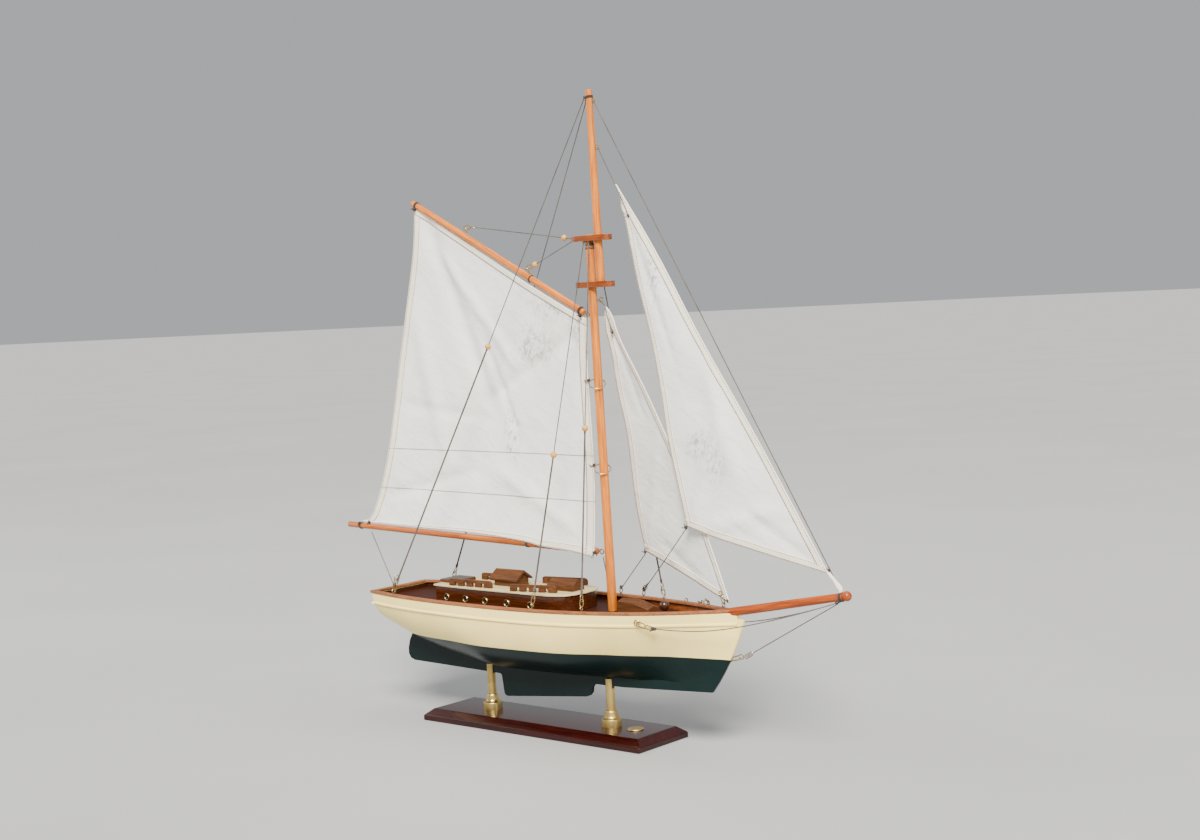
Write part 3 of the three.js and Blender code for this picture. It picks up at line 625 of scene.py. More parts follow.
GAFF_WOOD = wood("gaff_wood", (0.42, 0.09, 0.006), (0.76, 0.245, 0.018), 0.34, coat=0.2, angle=-28)
BOWSPRIT_WOOD = wood("bowsprit_wood", (0.17, 0.022, 0.002), (0.38, 0.075, 0.006), 0.32, coat=0.2, angle=10.5)
PLANK_WOOD = wood("mast_plank_wood", (0.12, 0.02, 0.003), (0.32, 0.075, 0.009), 0.3, coat=0.3)
BEAD_WOOD = wood("bead_wood", (0.5, 0.2, 0.03), (0.8, 0.42, 0.09), 0.33, coat=0.4, figure=0.3)
BOLLARD_WOOD = wood("bollard_varnish", (0.02, 0.007, 0.003), (0.06, 0.022, 0.008), 0.15, coat=0.5, figure=0.4)
BRASS = brass("polished_brass", (0.6, 0.44, 0.16), 0.34)
FINE_BRASS = brass("brass_wire", (0.46, 0.35, 0.17), 0.28)
HULL_PAINT = hull_paint("hull_paint")
ROOF_PAINT = worn_paint("roof_paint", (0.46, 0.36, 0.175), (0.56, 0.45, 0.245))
HATCH_TOP = worn_paint("hatch_top_paint", (0.045, 0.036, 0.032), (0.09, 0.075, 0.068))
SAILCLOTH = cotton("sail_cotton", (0.88, 0.87, 0.84), (0.76, 0.75, 0.72))
HEM_CLOTH = cotton("hem_cotton", (0.86, 0.78, 0.66), (0.76, 0.68, 0.56), smudged=False)
THREAD = twisted_thread("rigging_thread", (0.11, 0.085, 0.07), (0.05, 0.036, 0.028))
STITCH = twisted_thread("sail_stitching", (0.12, 0.06, 0.03), (0.07, 0.035, 0.018))
KNOT = twisted_thread("knot_thread", (0.04, 0.02, 0.01), (0.018, 0.009, 0.005))
GLASS = porthole_glass("porthole_dark")


# ------------------------------------------------------------------ stand
FOOT_BASE = 11.0
FOOT_NECK = 4.3
FOOT_SEAT = -0.28
PILLAR_X = 73.5
TUBE_BOTTOM = 11.3
PILLAR_TOP = 54.0
SLOT_FLOOR = 45.1
SLOT_HALF = 1.8
TUBE_RADIUS = 4.0


def pillar_foot(name, x, node):
    profile = [
        (9.1, FOOT_SEAT), (9.1, 6.2), (8.5, 6.75), (7.4, 7.1), (6.5, 7.8), (6.0, 9.0), (5.75, 10.6),
        (5.5, 12.8), (5.0, 14.0), (FOOT_NECK, 14.4),
    ]
    shape = [(FOOT_NECK, FOOT_SEAT), *rounded(profile, 0.35, 4)]
    foot = make(name, *lathe(shape, (x, 0, FOOT_BASE), sides=72), BRASS, "stand")
    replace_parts(foot, node)


def pillar_tube(name, x, node):
    rod = lathe([(TUBE_RADIUS, TUBE_BOTTOM), (TUBE_RADIUS, SLOT_FLOOR)], (x, 0, 0), sides=48)
    reach = math.acos(SLOT_HALF / TUBE_RADIUS)
    parts = [rod]
    for side in (PORT, STARBOARD):
        lips = []
        for z, shrink in ((SLOT_FLOOR, 0), (PILLAR_TOP - 0.3, 0), (PILLAR_TOP, 0.3)):
            angles = (side * math.pi / 2 - reach + 2 * reach * k / 16 for k in range(17))
            radius = TUBE_RADIUS - shrink
            lips.append([(x + radius * math.cos(a), radius * math.sin(a), z) for a in angles])
        parts.append(skin(lips))
    tube = make(name, *together(parts), BRASS, "stand")
    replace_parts(tube, node)


def build_stand():
    refined("base_plinth", "stand", PLINTH_WOOD, 0.7, 4)
    refined("base_plaque", "stand", BRASS, 0.15)
    for word, x in (("aft", -PILLAR_X), ("fore", PILLAR_X)):
        pillar_foot(word + "_foot_turned", x, word + "_pillar_foot")
        pillar_tube(word + "_tube_slotted", x, word + "_pillar_tube")


# ------------------------------------------------------------------ hull lines, the same as in the CAD source
STERN_X = -194.0
BOW_X = 216.6
FULLEST_X = -30.0
HALF_BEAM = 54.6
TRANSOM_NARROWING = 1 / 3
FORE_TAPER = 2.36
AFT_TAPER = 2.5
RAIL_Z = 118.1
BOW_SHEER = 5.7
STERN_SHEER = 0.3
SHEER_BEND = 2.4
TRANSOM_RAKE = 0.12
SECTION_SHAPE = (
    (STERN_X, 2.4, 1.4),
    (-153, 2.2, 1.6),
    (-89, 2, 1.5),
    (-31, 2.4, 2),
    (46, 2.4, 2),
    (110, 1.5, 1.5),
    (163, 1.2, 1),
    (BOW_X, 1.1, 1),
)
DEEPEST_Z = 53.7
DEEPEST_X = -40.0
STERN_RISE = 29.5
STERN_BEND = 1.9
BOW_RISE = 3.5
BOW_BEND = 1.5
KEELSON_STERN_X = -190.0
KEELSON_BOW_X = 186.0
STEM_FOOT = (189.0, 52.7)
STEM_RAKE = 0.79
STEM_CURVE = 0.00367
PLANK_END_X = 217.0
WALL = 2.4
WELL_FLOOR = 112.7
LAST_STATION = 0.995
STRAKE_DROP = 9.7
STRAKE_HALF = 1.5
STRAKE_STAND = 1.3


def smoothstep(start, end, value):
    """Nought before start, one after end, and a soft rise between them."""
    share = min(max((value - start) / (end - start), 0), 1)
    return share * share * (3 - 2 * share)


def rail_half_beam(x):
    """Half the hull's width at the rail."""
    if x > FULLEST_X:
        return HALF_BEAM * (1 - ((x - FULLEST_X) / (BOW_X - FULLEST_X)) ** FORE_TAPER)
    aft = (FULLEST_X - x) / (FULLEST_X - STERN_X)
    return HALF_BEAM * (1 - TRANSOM_NARROWING * aft**AFT_TAPER)


def rail_height(x):
    """Height of the hull's upper edge, which rises towards the bow."""
    if x > FULLEST_X:
        return RAIL_Z + BOW_SHEER * ((x - FULLEST_X) / (BOW_X - FULLEST_X)) ** SHEER_BEND
    return RAIL_Z + STERN_SHEER * (FULLEST_X - x) / (FULLEST_X - STERN_X)


def stem_x(z):
    """The fore face of the stem at a height."""
    rise = z - STEM_FOOT[1]
    return STEM_FOOT[0] + STEM_RAKE * rise - STEM_CURVE * rise * rise


def bottom_height(x):
    """Height of the hull's bottom on the centre plane."""
    if x < DEEPEST_X:
        return DEEPEST_Z + STERN_RISE * ((DEEPEST_X - x) / (DEEPEST_X - KEELSON_STERN_X)) ** STERN_BEND
    return DEEPEST_Z + BOW_RISE * ((x - DEEPEST_X) / (KEELSON_BOW_X - DEEPEST_X)) ** BOW_BEND


def station_x(s, z):
    """Where the station at share s of the length, from the stern to the bow, lies at a height."""
    stern = STERN_X + TRANSOM_RAKE * (RAIL_Z - min(z, RAIL_Z))
    bow = min(stem_x(z) - 4, PLANK_END_X)
    return stern + (bow - stern) * s


def station_ends(s):
    """Heights of the rail and of the bottom at a station."""
    s = min(max(s, 0), 1)
    rail = rail_height(STERN_X + (BOW_X - STERN_X) * s)
    bottom = bottom_height(KEELSON_STERN_X + (KEELSON_BOW_X - KEELSON_STERN_X) * s)
    return rail, bottom


def section_shape(rail_x):
    """How boxy the bilge is and how full the side is at a rail station."""
    for before, after in zip(SECTION_SHAPE, SECTION_SHAPE[1:]):
        if rail_x <= after[0]:
            break
    share = smoothstep(before[0], after[0], rail_x)
    return tuple(a + (b - a) * share for a, b in zip(before[1:], after[1:]))


def half_breadth(s, z):
    """Half the planking's width at a station and a height."""
    inside = min(max(s, 0), 1)
    rail, bottom = station_ends(inside)
    drop = min(max((rail - z) / (rail - bottom), 0), 1)
    rail_x = STERN_X + (BOW_X - STERN_X) * inside
    power, fullness = section_shape(rail_x)
    return rail_half_beam(rail_x) * (1 - drop**power) ** (1 / fullness)


STEM_HALF = 1.62  # the skin closes over the sides of the stem board


def skin_half(s, z):
    """Half breadth of the painted skin, which runs on over the stem board at the bow."""
    return max(half_breadth(s, z), STEM_HALF * smoothstep(0.88, 0.93, s))


def skin_x(s, z):
    """Station of the painted skin, drawn out to just behind the face of the stem."""
    stretch = smoothstep(0.9, LAST_STATION, s)
    return station_x(s, z) + stretch * (min(stem_x(z) - 0.9, PLANK_END_X + 1.6) - station_x(LAST_STATION, z))


def strake_stand(drop):
    """How far the rubbing strake stands out at a drop below the rail."""
    off = (drop - STRAKE_DROP) / STRAKE_HALF
    return STRAKE_STAND * math.sqrt(1 - off * off) if abs(off) < 1 else 0.0


STATIONS = 110
WELL_START = 0.009
WELL_END = 0.955
WELL_WALL = 0.0002  # thickness of the well's end walls, as a share of the hull's length
BULWARK_AFT_X = -191.5
BULWARK_FORE_X = 206


def hull_ring(s, has_well):
    """Outer skin from the port rail round the keel to the starboard rail, then back along the well."""
    rail, bottom = station_ends(s)
    depth = rail - bottom
    drops = [0, 2.5, 5, 7.4, 8.1, 8.25, 8.5, 8.9, 9.3, 9.7, 10.1, 10.5, 10.9, 11.15, 11.3, 12.2]
    start = drops[-1] / depth
    steps = 26
    for k in range(1, steps + 1):
        drops.append(depth * (start + (1 - start) * math.sin(math.pi / 2 * k / steps)))
    outer = []
    for drop in drops:
        z = rail - drop
        outer.append((skin_x(s, z), skin_half(s, z) + strake_stand(drop), z))
    outer[-1] = (outer[-1][0], 0.0, outer[-1][2])
    inner = []
    for z in (rail, (rail + WELL_FLOOR) / 2, WELL_FLOOR):
        at = z if has_well else rail
        half = max(skin_half(s, at) - WALL, 0.3)
        inner.append((skin_x(s, at), half, at))
    port = outer
    starboard = [(x, -y, z) for x, y, z in reversed(outer[:-1])]
    starboard_inner = [(x, -y, z) for x, y, z in inner]
    port_inner = list(reversed(inner))
    return port + starboard + starboard_inner + port_inner


def build_hull():
    spread = [LAST_STATION * k / STATIONS for k in range(STATIONS + 1)]
    inside = [s for s in spread if WELL_START + 10 * WELL_WALL < s < WELL_END - 10 * WELL_WALL]
    aft = [0.0, WELL_START - WELL_WALL]
    fore = [WELL_END + WELL_WALL] + [s for s in spread if s > WELL_END + 10 * WELL_WALL]
    rings = [hull_ring(s, False) for s in aft]
    rings += [hull_ring(s, True) for s in (WELL_START, *inside, WELL_END)]
    rings += [hull_ring(s, False) for s in fore]
    hull = make("hull_planked", *skin(rings), HULL_PAINT)
    hull.data.materials.append(BULWARK_WOOD)
    for face in hull.data.polygons:
        centre = face.center / MM
        along = min(max((centre.x - STERN_X) / (BOW_X - STERN_X), 0), 1)
        inward = abs(centre.y) < half_breadth(along, centre.z) - WALL / 2
        if inward and centre.z > WELL_FLOOR - 0.5 and BULWARK_AFT_X < centre.x < BULWARK_FORE_X:
            face.material_index = 1
    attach(hull, "ship")
    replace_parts(hull, "hull")
    refined("keel_board", "ship", HULL_PAINT, 0.45)
    refined("deck", "ship", DECK_WOOD, 0.2)
    build_transom_strake()


def build_transom_strake():
    """The rubbing strake carried round the stern."""
    z = station_ends(0)[0] - STRAKE_DROP
    half = half_breadth(0, z)
    x = station_x(0, z)
    line = [
        (x + 1.4, -half - 0.35, z), (x + 0.4, -half + 0.1, z), (x, -half + 1.4, z), (x - 0.1, 0, z),
        (x, half - 1.4, z), (x + 0.4, half - 0.1, z), (x + 1.4, half + 0.35, z),
    ]
    make("transom_strake", *sweep(smooth_path(line, 8), STRAKE_STAND, 16), HULL_PAINT, "ship")


CAP_LOW = 0.3
CAP_THICK = 2.4
CAP_OVER = 0.8
CAP_INSIDE = 4.4
CAP_AFT_X = -195.6
CAP_AFT_INSIDE_X = -190.4


def cap_section(outer, inner, low):
    """Rounded plank section between an outer and an inner point in plan."""
    outer = Vector((*outer, low))
    inner = Vector((*inner, low))
    across = inner - outer
    width = max(across.length, 0.02)
    across.normalize()
    soft = min(0.5, width / 3)
    up = Vector((0, 0, 1))
    shape = [
        (0, soft * 0.6), (0, CAP_THICK - soft), (soft * 0.3, CAP_THICK - soft * 0.3), (soft, CAP_THICK),
        (width - soft, CAP_THICK), (width - soft * 0.3, CAP_THICK - soft * 0.3),
        (width, CAP_THICK - soft), (width, soft * 0.6), (width - soft * 0.6, 0), (soft * 0.6, 0),
    ]
    return [outer + across * a + up * b for a, b in shape]


def build_cap_rail():
    sections = []
    spread = [LAST_STATION * (1 - k / 90) for k in range(91)]
    for s in spread:
        rail = station_ends(s)[0]
        half = half_breadth(s, rail)
        x = station_x(s, rail)
        sections.append(((x, half + CAP_OVER), (x, max(half - CAP_INSIDE, 0.02)), rail + CAP_LOW))
    sections = [row for row in sections if row[0][0] > CAP_AFT_INSIDE_X + 0.4]
    aft_rail = station_ends(0)[0] + CAP_LOW
    aft_half = half_breadth(0, aft_rail - CAP_LOW)
    corner = ((CAP_AFT_X, aft_half + CAP_OVER), (CAP_AFT_INSIDE_X, aft_half - CAP_INSIDE), aft_rail)
    port = [*sections, corner]
    starboard = [((o[0], -o[1]), (i[0], -i[1]), z) for o, i, z in reversed(port)]
    rings = [cap_section(*row) for row in port + starboard]
    rail = make("cap_rail_shaped", *skin(rings), RAIL_WOOD, "ship")
    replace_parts(rail, "cap_rail")


# ------------------------------------------------------------------ cabin and deck fittings
TRUNK_SIDE = [
    (-117, 24.6), (-92, 26.6), (-42, 28.2), (0, 29), (20, 28.8), (34, 27.2), (43, 23), (48, 14.5), (50, 0),
]
CABIN_FRONT_X = 34
TRUNK_BOTTOM = 114.8
TRUNK_TOP = 128.8
ROOF_BOTTOM = 129.1
ROOF_TOP = 130.7
ROOF_OVERHANG = 1.4


def trunk_outline(grow):
    """The cabin's outline in plan, larger all round by grow."""
    port = []
    for p in smooth_path([(x, y, 0) for x, y in TRUNK_SIDE], 14):
        outward = grow * max((p.x - CABIN_FRONT_X) / (TRUNK_SIDE[-1][0] - CABIN_FRONT_X), 0)
        port.append((p.x + outward, p.y + grow * min(1, p.y / 20) if p.y > 0 else 0.0))
    port[0] = (port[0][0] - grow, port[0][1])
    return port + [(x, -y) for x, y in reversed(port[:-1])]


def raised(outline, levels):
    """Closed walls through copies of the outline, one for each (height, inset) level."""
    rings = []
    cx = sum(x for x, _ in outline) / len(outline)
    for z, inset in levels:
        ring_points = []
        for x, y in outline:
            toward = Vector((cx - x, -y, 0))
            pull = toward.normalized() * inset if toward.length else toward
            ring_points.append((x + pull.x, y + pull.y, z))
        rings.append(ring_points)
    return skin(rings)


def build_cabin():
    walls = raised(trunk_outline(0), [(TRUNK_BOTTOM, 0), (TRUNK_TOP, 0)])
    trunk = make("cabin_sides", *walls, CABIN_WOOD, "ship")
    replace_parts(trunk, "cabin_trunk")
    edge = [
        (ROOF_BOTTOM, 0.25),
        (ROOF_BOTTOM + 0.3, 0),
        (ROOF_TOP - 0.45, 0),
        (ROOF_TOP - 0.12, 0.15),
        (ROOF_TOP, 0.5),
    ]
    roof = make("cabin_roof_shaped", *raised(trunk_outline(ROOF_OVERHANG), edge), ROOF_PAINT, "ship")
    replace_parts(roof, "cabin_roof")
    for node in (
        "port_aft_windows",
        "port_fore_windows",
        "starboard_aft_windows",
        "starboard_fore_windows",
        "aft_companion",
        "fore_companion",
        "sliding_hatch",
        "foredeck_hatch",
    ):
        refined(node, "ship", FITTING_WOOD, 0.45)
    build_hatch_top()
    build_portholes()
    build_bollard()


def build_hatch_top():
    """The dark painted panel that covers the sliding hatch, a little in from its edges."""
    margin = 0.6
    low, high = (Vector(corner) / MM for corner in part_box("sliding_hatch"))
    aft = low.x + margin
    fore = high.x - margin
    starboard = low.y + margin
    port = high.y - margin
    outline = [(aft, starboard), (fore, starboard), (fore, port), (aft, port)]
    levels = [(high.z, 0), (high.z + 0.35, 0), (high.z + 0.45, 0.15)]
    make("sliding_hatch_top", *raised(outline, levels), HATCH_TOP, "ship")


PORTHOLES = (-101, -75.4, -49.1, -21.2, 8.4)
PORTHOLE_Z = 119.4
# Radius and height of the rim's section and of the bulging pane inside it.
PORTHOLE_RIM = [
    (2.35, 0), (3.65, 0), (3.65, 0.45), (3.5, 0.8), (3.2, 1.05), (2.85, 1.05), (2.5, 0.85), (2.35, 0.5),
    (2.35, 0),
]
PORTHOLE_PANE = [(0, 0), (2.34, 0), (1.8, 0.2), (0, 0.3)]


def side_of_trunk(x):
    """Half width of the cabin side at x and the way it faces."""
    points = smooth_path([(a, b, 0) for a, b in TRUNK_SIDE], 14)
    for before, after in zip(points, points[1:]):
        if before.x <= x <= after.x:
            share = (x - before.x) / (after.x - before.x)
            slope = (after.y - before.y) / (after.x - before.x)
            return before.y + share * (after.y - before.y), Vector((-slope, 1, 0)).normalized()
    raise ValueError("no cabin side at that station")


def build_portholes():
    for side, word in ((PORT, "port"), (STARBOARD, "starboard")):
        for number, x in enumerate(PORTHOLES, 1):
            half, facing = side_of_trunk(x)
            facing = Vector((facing.x, facing.y * side, 0))
            at = Vector((x, side * half, PORTHOLE_Z)) + facing * 0.2
            label = f"{word}_porthole_{number}"
            make(label + "_rim", *lathe_ring(PORTHOLE_RIM, at, facing), FINE_BRASS, "ship")
            make(label + "_pane", *lathe(PORTHOLE_PANE, at, facing, 32), GLASS, "ship")


BOLLARD_X = 140
BOLLARD_BALL_Z = 124.2
BOLLARD_BALL = 4.4


def build_bollard():
    centre = BOLLARD_BALL_Z
    profile = [
        (0, 114.8), (3.4, 114.8), (3.2, 115.4), (2.2, 116.2), (2.0, centre - 4.2), (2.05, centre - 3.85),
    ]
    profile += ball(BOLLARD_BALL, centre, -1.08, 20)
    post = make("bollard_turned", *lathe(profile, (BOLLARD_X, 0, 0)), BOLLARD_WOOD, "ship")
    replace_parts(post, "bollard")


# ------------------------------------------------------------------ spars
MAST_RAKE = 0.0212
LOWER_MAST_FOOT = (81.1, 114.8)
LOWER_MAST_TOP = 449.6
TOPMAST_FOOT = (85.2, 402.9)
TOPMAST_TOP = 575.4
BOOM = ((-262, 0, 178.6), (67, 0, 168.1))
GAFF = ((-146, 0, 492.8), (64.4, 0, 380.9))
BOWSPRIT_HEEL_X = 187
BOWSPRIT_TIP = (324.0, 144.6)
BOWSPRIT_SLOPE = 0.1856
BOWSPRIT_KNOB = 4.2
HOOP_TILT = 0.6
HOOP_LEAN = (0.674, -0.738)
HOOP_RADIUS = 7.3
HOOP_HEIGHTS = (("upper", 318), ("lower", 242.4))


def lower_mast_x(z):
    return LOWER_MAST_FOOT[0] - MAST_RAKE * (z - LOWER_MAST_FOOT[1])


def topmast_x(z):
    return TOPMAST_FOOT[0] - MAST_RAKE * (z - TOPMAST_FOOT[1])


def bowsprit_at(x):
    return Vector((x, 0, BOWSPRIT_TIP[1] - BOWSPRIT_SLOPE * (BOWSPRIT_TIP[0] - x)))


def bowed_spar(start, end, start_radius, end_radius, belly):
    """A spar with softly rounded ends and a little fullness in the middle."""
    start = Vector(start)
    end = Vector(end)
    length = (end - start).length
    points = []
    radii = []
    ends = [(0, 0.55), (0.15, 0.8), (0.45, 0.94), (0.9, 1)]
    for off, share in ends:
        points.append(start.lerp(end, off / length))
        radii.append(start_radius * share)
    for k in range(1, 16):
        t = k / 16
        points.append(start.lerp(end, t))
        radii.append(start_radius + (end_radius - start_radius) * t + belly * math.sin(math.pi * t))
    for off, share in reversed(ends):
        points.append(start.lerp(end, 1 - off / length))
        radii.append(end_radius * share)
    return sweep(points, radii, 32)


def raked_mast(x_at, foot, top, foot_radius, top_radius):
    return bowed_spar((x_at(foot), 0, foot), (x_at(top), 0, top), foot_radius, top_radius, 0)


def build_spars():
    lower = raked_mast(lower_mast_x, LOWER_MAST_FOOT[1], LOWER_MAST_TOP, 4.2, 3.7)
    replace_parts(make("lower_mast_turned", *lower, MAST_WOOD, "ship"), "lower_mast")
    upper = raked_mast(topmast_x, TOPMAST_FOOT[1], TOPMAST_TOP, 3.9, 3.0)
    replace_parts(make("topmast_turned", *upper, MAST_WOOD, "ship"), "topmast")
    boom = bowed_spar(*BOOM, 2.8, 2.9, 0.1)
    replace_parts(make("boom_turned", *boom, BOOM_WOOD, "main_rig"), "boom")
    gaff = bowed_spar(*GAFF, 2.85, 3.0, 0.1)
    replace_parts(make("gaff_turned", *gaff, GAFF_WOOD, "main_rig"), "gaff")
    build_bowsprit()
    refined("mast_cap", "ship", PLANK_WOOD, 0.7)
    refined("trestle_plank", "ship", PLANK_WOOD, 0.7)


def build_bowsprit():
    heel = bowsprit_at(BOWSPRIT_HEEL_X)
    tip = bowsprit_at(BOWSPRIT_TIP[0])
    length = (tip - heel).length
    profile = [(0, 0), (4.0, 0), (3.3, length - 1.2), (3.0, length - 0.5), (2.75, length)]
    profile += ball(BOWSPRIT_KNOB, length + 3.4, -0.87, 16)
    spar = make("bowsprit_turned", *lathe(profile, heel, tip - heel, 40), BOWSPRIT_WOOD, "ship")
    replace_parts(spar, "bowsprit")


def build_spar_fittings():
    eye = make("gooseneck_ring", *ring((71.4, 0, 168), (0, 1, 0), 2.1, 0.55), FINE_BRASS, "main_rig")
    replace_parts(eye, "gooseneck_eye")
    eye = make("throat_ring", *ring((68.4, 0, 379.4), (0, 1, 0), 1.7, 0.5), FINE_BRASS, "main_rig")
    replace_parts(eye, "throat_eye")
    sideways = math.sin(HOOP_TILT)
    facing = (HOOP_LEAN[0] * sideways, HOOP_LEAN[1] * sideways, math.cos(HOOP_TILT))
    for word, z in HOOP_HEIGHTS:
        x = lower_mast_x(z) - 0.9
        wire = ring((x, -0.8, z), facing, HOOP_RADIUS, 0.55, 10, 48)
        hoop = make(word + "_hoop_wire", *wire, FINE_BRASS, "main_rig")
        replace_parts(hoop, word + "_mast_hoop")
        tie = coil((x - 8.8, -1.6, z + 3), (0.5, 1, 0.3), 1.1, 0.42, 3, 0.8)
        ends = sweep([(x - 9, -2, z + 3), (x - 11.5, -2.6, z + 2), (x - 14, -2, z + 3.5)], 0.4, 8)
        make(word + "_hoop_tie", *together([tie, ends]), KNOT, "main_rig")


# ------------------------------------------------------------------ sails
CLOTH = 0.4
HEM = 0.95


def polyline(points, count):
    """Points evenly spaced along a smooth line through the given ones."""
    fine = smooth_path(points, 16)
    lengths = [0.0]
    for a, b in zip(fine, fine[1:]):
        lengths.append(lengths[-1] + (b - a).length)
    result = []
    j = 0
    for k in range(count + 1):
        want = lengths[-1] * k / count
        while j < len(fine) - 2 and lengths[j + 1] < want:
            j += 1
        span = lengths[j + 1] - lengths[j]
        result.append(fine[j].lerp(fine[j + 1], (want - lengths[j]) / span if span else 0))
    return result


class Sail:
    """A cloth between four edges, with fullness, folds and hems.

    Across runs from the leech (0) to the luff (1) and down from the head (0) to the foot (1).
    """

    def __init__(self, head, foot, leech, luff, fullness, folds, fold_scale):
        self.fine = 240
        self.head = polyline(head, self.fine)
        self.foot = polyline(foot, self.fine)
        self.leech = polyline(leech, self.fine)
        self.luff = polyline(luff, self.fine)
        self.fullness = fullness
        self.folds = folds
        self.fold_scale = fold_scale

    def on(self, edge, share):
        place = min(max(share, 0), 1) * self.fine
        low = min(int(place), self.fine - 1)
        return edge[low].lerp(edge[low + 1], place - low)

    def flat(self, across, down):
        """The plain surface stretched between the four edges."""
        sides = self.on(self.leech, down).lerp(self.on(self.luff, down), across)
        ends = self.on(self.head, across).lerp(self.on(self.foot, across), down)
        top = self.leech[0].lerp(self.luff[0], across)
        bottom = self.leech[-1].lerp(self.luff[-1], across)
        return sides + ends - top.lerp(bottom, down)

    def at(self, across, down):
        place = self.flat(across, down)
        swell = self.fullness * 4 * across * (1 - across) * min(1, 4 * down * (1 - down) + 0.15)
        offset = swell + self.fold_depth(place) * min(1, 9 * across * (1 - across) + 0.25)
        return place + Vector((0, offset, 0))

    def fold_depth(self, place):
        depth = 0.0
        for (x0, z0), (x1, z1), width, height in self.folds:
            start = Vector((x0, z0))
            along = Vector((x1, z1)) - start
            here = Vector((place.x, place.z)) - start
            share = here.dot(along) / along.length_squared
            if -0.25 < share < 1.25:
                fade = smoothstep(-0.2, 0.12, share) * (1 - smoothstep(0.75, 1.2, share))
                off = abs(here.x * along.y - here.y * along.x) / along.length
                depth += self.fold_scale * height * fade * math.exp(-((off / width) ** 2))
        ripple = 0.28 * math.sin(place.x * 0.071 + place.z * 0.033) * math.sin(place.z * 0.058 - 0.6)
        pucker = 0.12 * math.sin(place.x * 0.21 + 1.1 * math.sin(place.z * 0.05)) * math.sin(place.z * 0.17)
        return depth + ripple + pucker

    def inside(self, edge, t, inset):
        """The point on the cloth at t along an edge and inset from it."""
        if edge in ("leech", "luff"):
            span = (self.on(self.leech, t) - self.on(self.luff, t)).length
        else:
            span = (self.on(self.head, t) - self.on(self.foot, t)).length
        share = min(inset / max(span, 0.1), 0.5)
        if edge in ("luff", "foot"):
            share = 1 - share
        return self.at(share, t) if edge in ("leech", "luff") else self.at(t, share)


def sheet_mesh(name, rows, thickness, look):
    """A thin closed cloth through rows of points."""
    vertices, faces = skin(rows, closed_ring=False, capped=False)
    cloth = make(name, vertices, faces, look)
    thick = cloth.modifiers.new("cloth_thickness", "SOLIDIFY")
    thick.thickness = thickness * MM
    thick.offset = 0
    return cloth


def shares(start, end, steps):
    """Evenly spaced numbers from start to end."""
    return [start + (end - start) * k / steps for k in range(steps + 1)]


def hem_rows(sail, edge, width, start, end):
    """Rows of points across a hem, from start to end along one edge of the sail."""
    return [[sail.inside(edge, t, width * j / 4) for j in range(5)] for t in shares(start, end, 90)]


def stitches(line, length=2.1, gap=0.45, wide=0.42, deep=1.3):
    """Short rounded stitches along a line, standing through the hem."""
    parts = []
    walked = 0.0
    travel = length + gap
    wanted = gap
    for a, b in zip(line, line[1:]):
        step = (b - a).length
        while step > 1e-6 and wanted < walked + step:
            at = a.lerp(b, (wanted - walked) / step)
            along = (b - a).normalized()
            beside = along.cross(Vector((0, 1, 0))).normalized()
            through = Vector((0, deep / 2, 0))
            rings = []
            for off, share in ((0, 0.45), (0.3, 1), (length - 0.3, 1), (length, 0.45)):
                here = at + along * off
                side = beside * wide / 2 * share
                out = through * (0.86 + 0.14 * share)
                rings.append([here - side - out, here + side - out, here + side + out, here - side + out])
            parts.append(skin(rings))
            wanted += travel
        walked += step
    return parts


def seam(sail, edge, inset, start, end):
    """The line of a row of stitches that lies inset from one edge of the sail."""
    return [sail.inside(edge, t, inset) for t in shares(start, end, 150)]


def build_sail(name, sail, body, hems, seams, eyelets, columns=70, rows=90):
    """The cloth with its hems, stitching and eyelets, which stands for the CAD sail of that name."""
    grid = [[sail.at(across, down) for across in shares(0, 1, columns)] for down in shares(0, 1, rows)]
    cloth = sheet_mesh(name + "_cloth", grid, CLOTH, SAILCLOTH)
    pieces = []
    for number, (edge, width, start, end) in enumerate(hems):
        thickness = HEM + 0.06 * number
        rows_of_hem = hem_rows(sail, edge, width, start, end)
        pieces.append(sheet_mesh(f"{name}_{edge}_hem", rows_of_hem, thickness, HEM_CLOTH))
    parts = []
    for edge, inset, start, end in seams:
        parts += stitches(seam(sail, edge, inset, start, end))
    pieces.append(make(name + "_stitching", *together(parts), STITCH, smooth=False))
    rims = [ring(sail.at(across, down), (0, 1, 0), 1.25, 0.45, 8, 20) for across, down in eyelets]
    pieces.append(make(name + "_eyelets", *together(rims), FINE_BRASS))
    for piece in (cloth, *pieces):
        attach(piece, body)
    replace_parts(cloth, name)
    flat_area(sail) * MM * MM


def flat_area(sail):
    """Area in square millimetres of the sail without its fullness and folds."""
    grid = [[sail.flat(across, down) for across in shares(0, 1, 40)] for down in shares(0, 1, 40)]
    total = 0.0
    for upper, lower in zip(grid, grid[1:]):
        for a, b, c, d in zip(upper, upper[1:], lower[1:], lower):
            total += (b - a).cross(d - a).length / 2 + (b - c).cross(d - c).length / 2
    return total


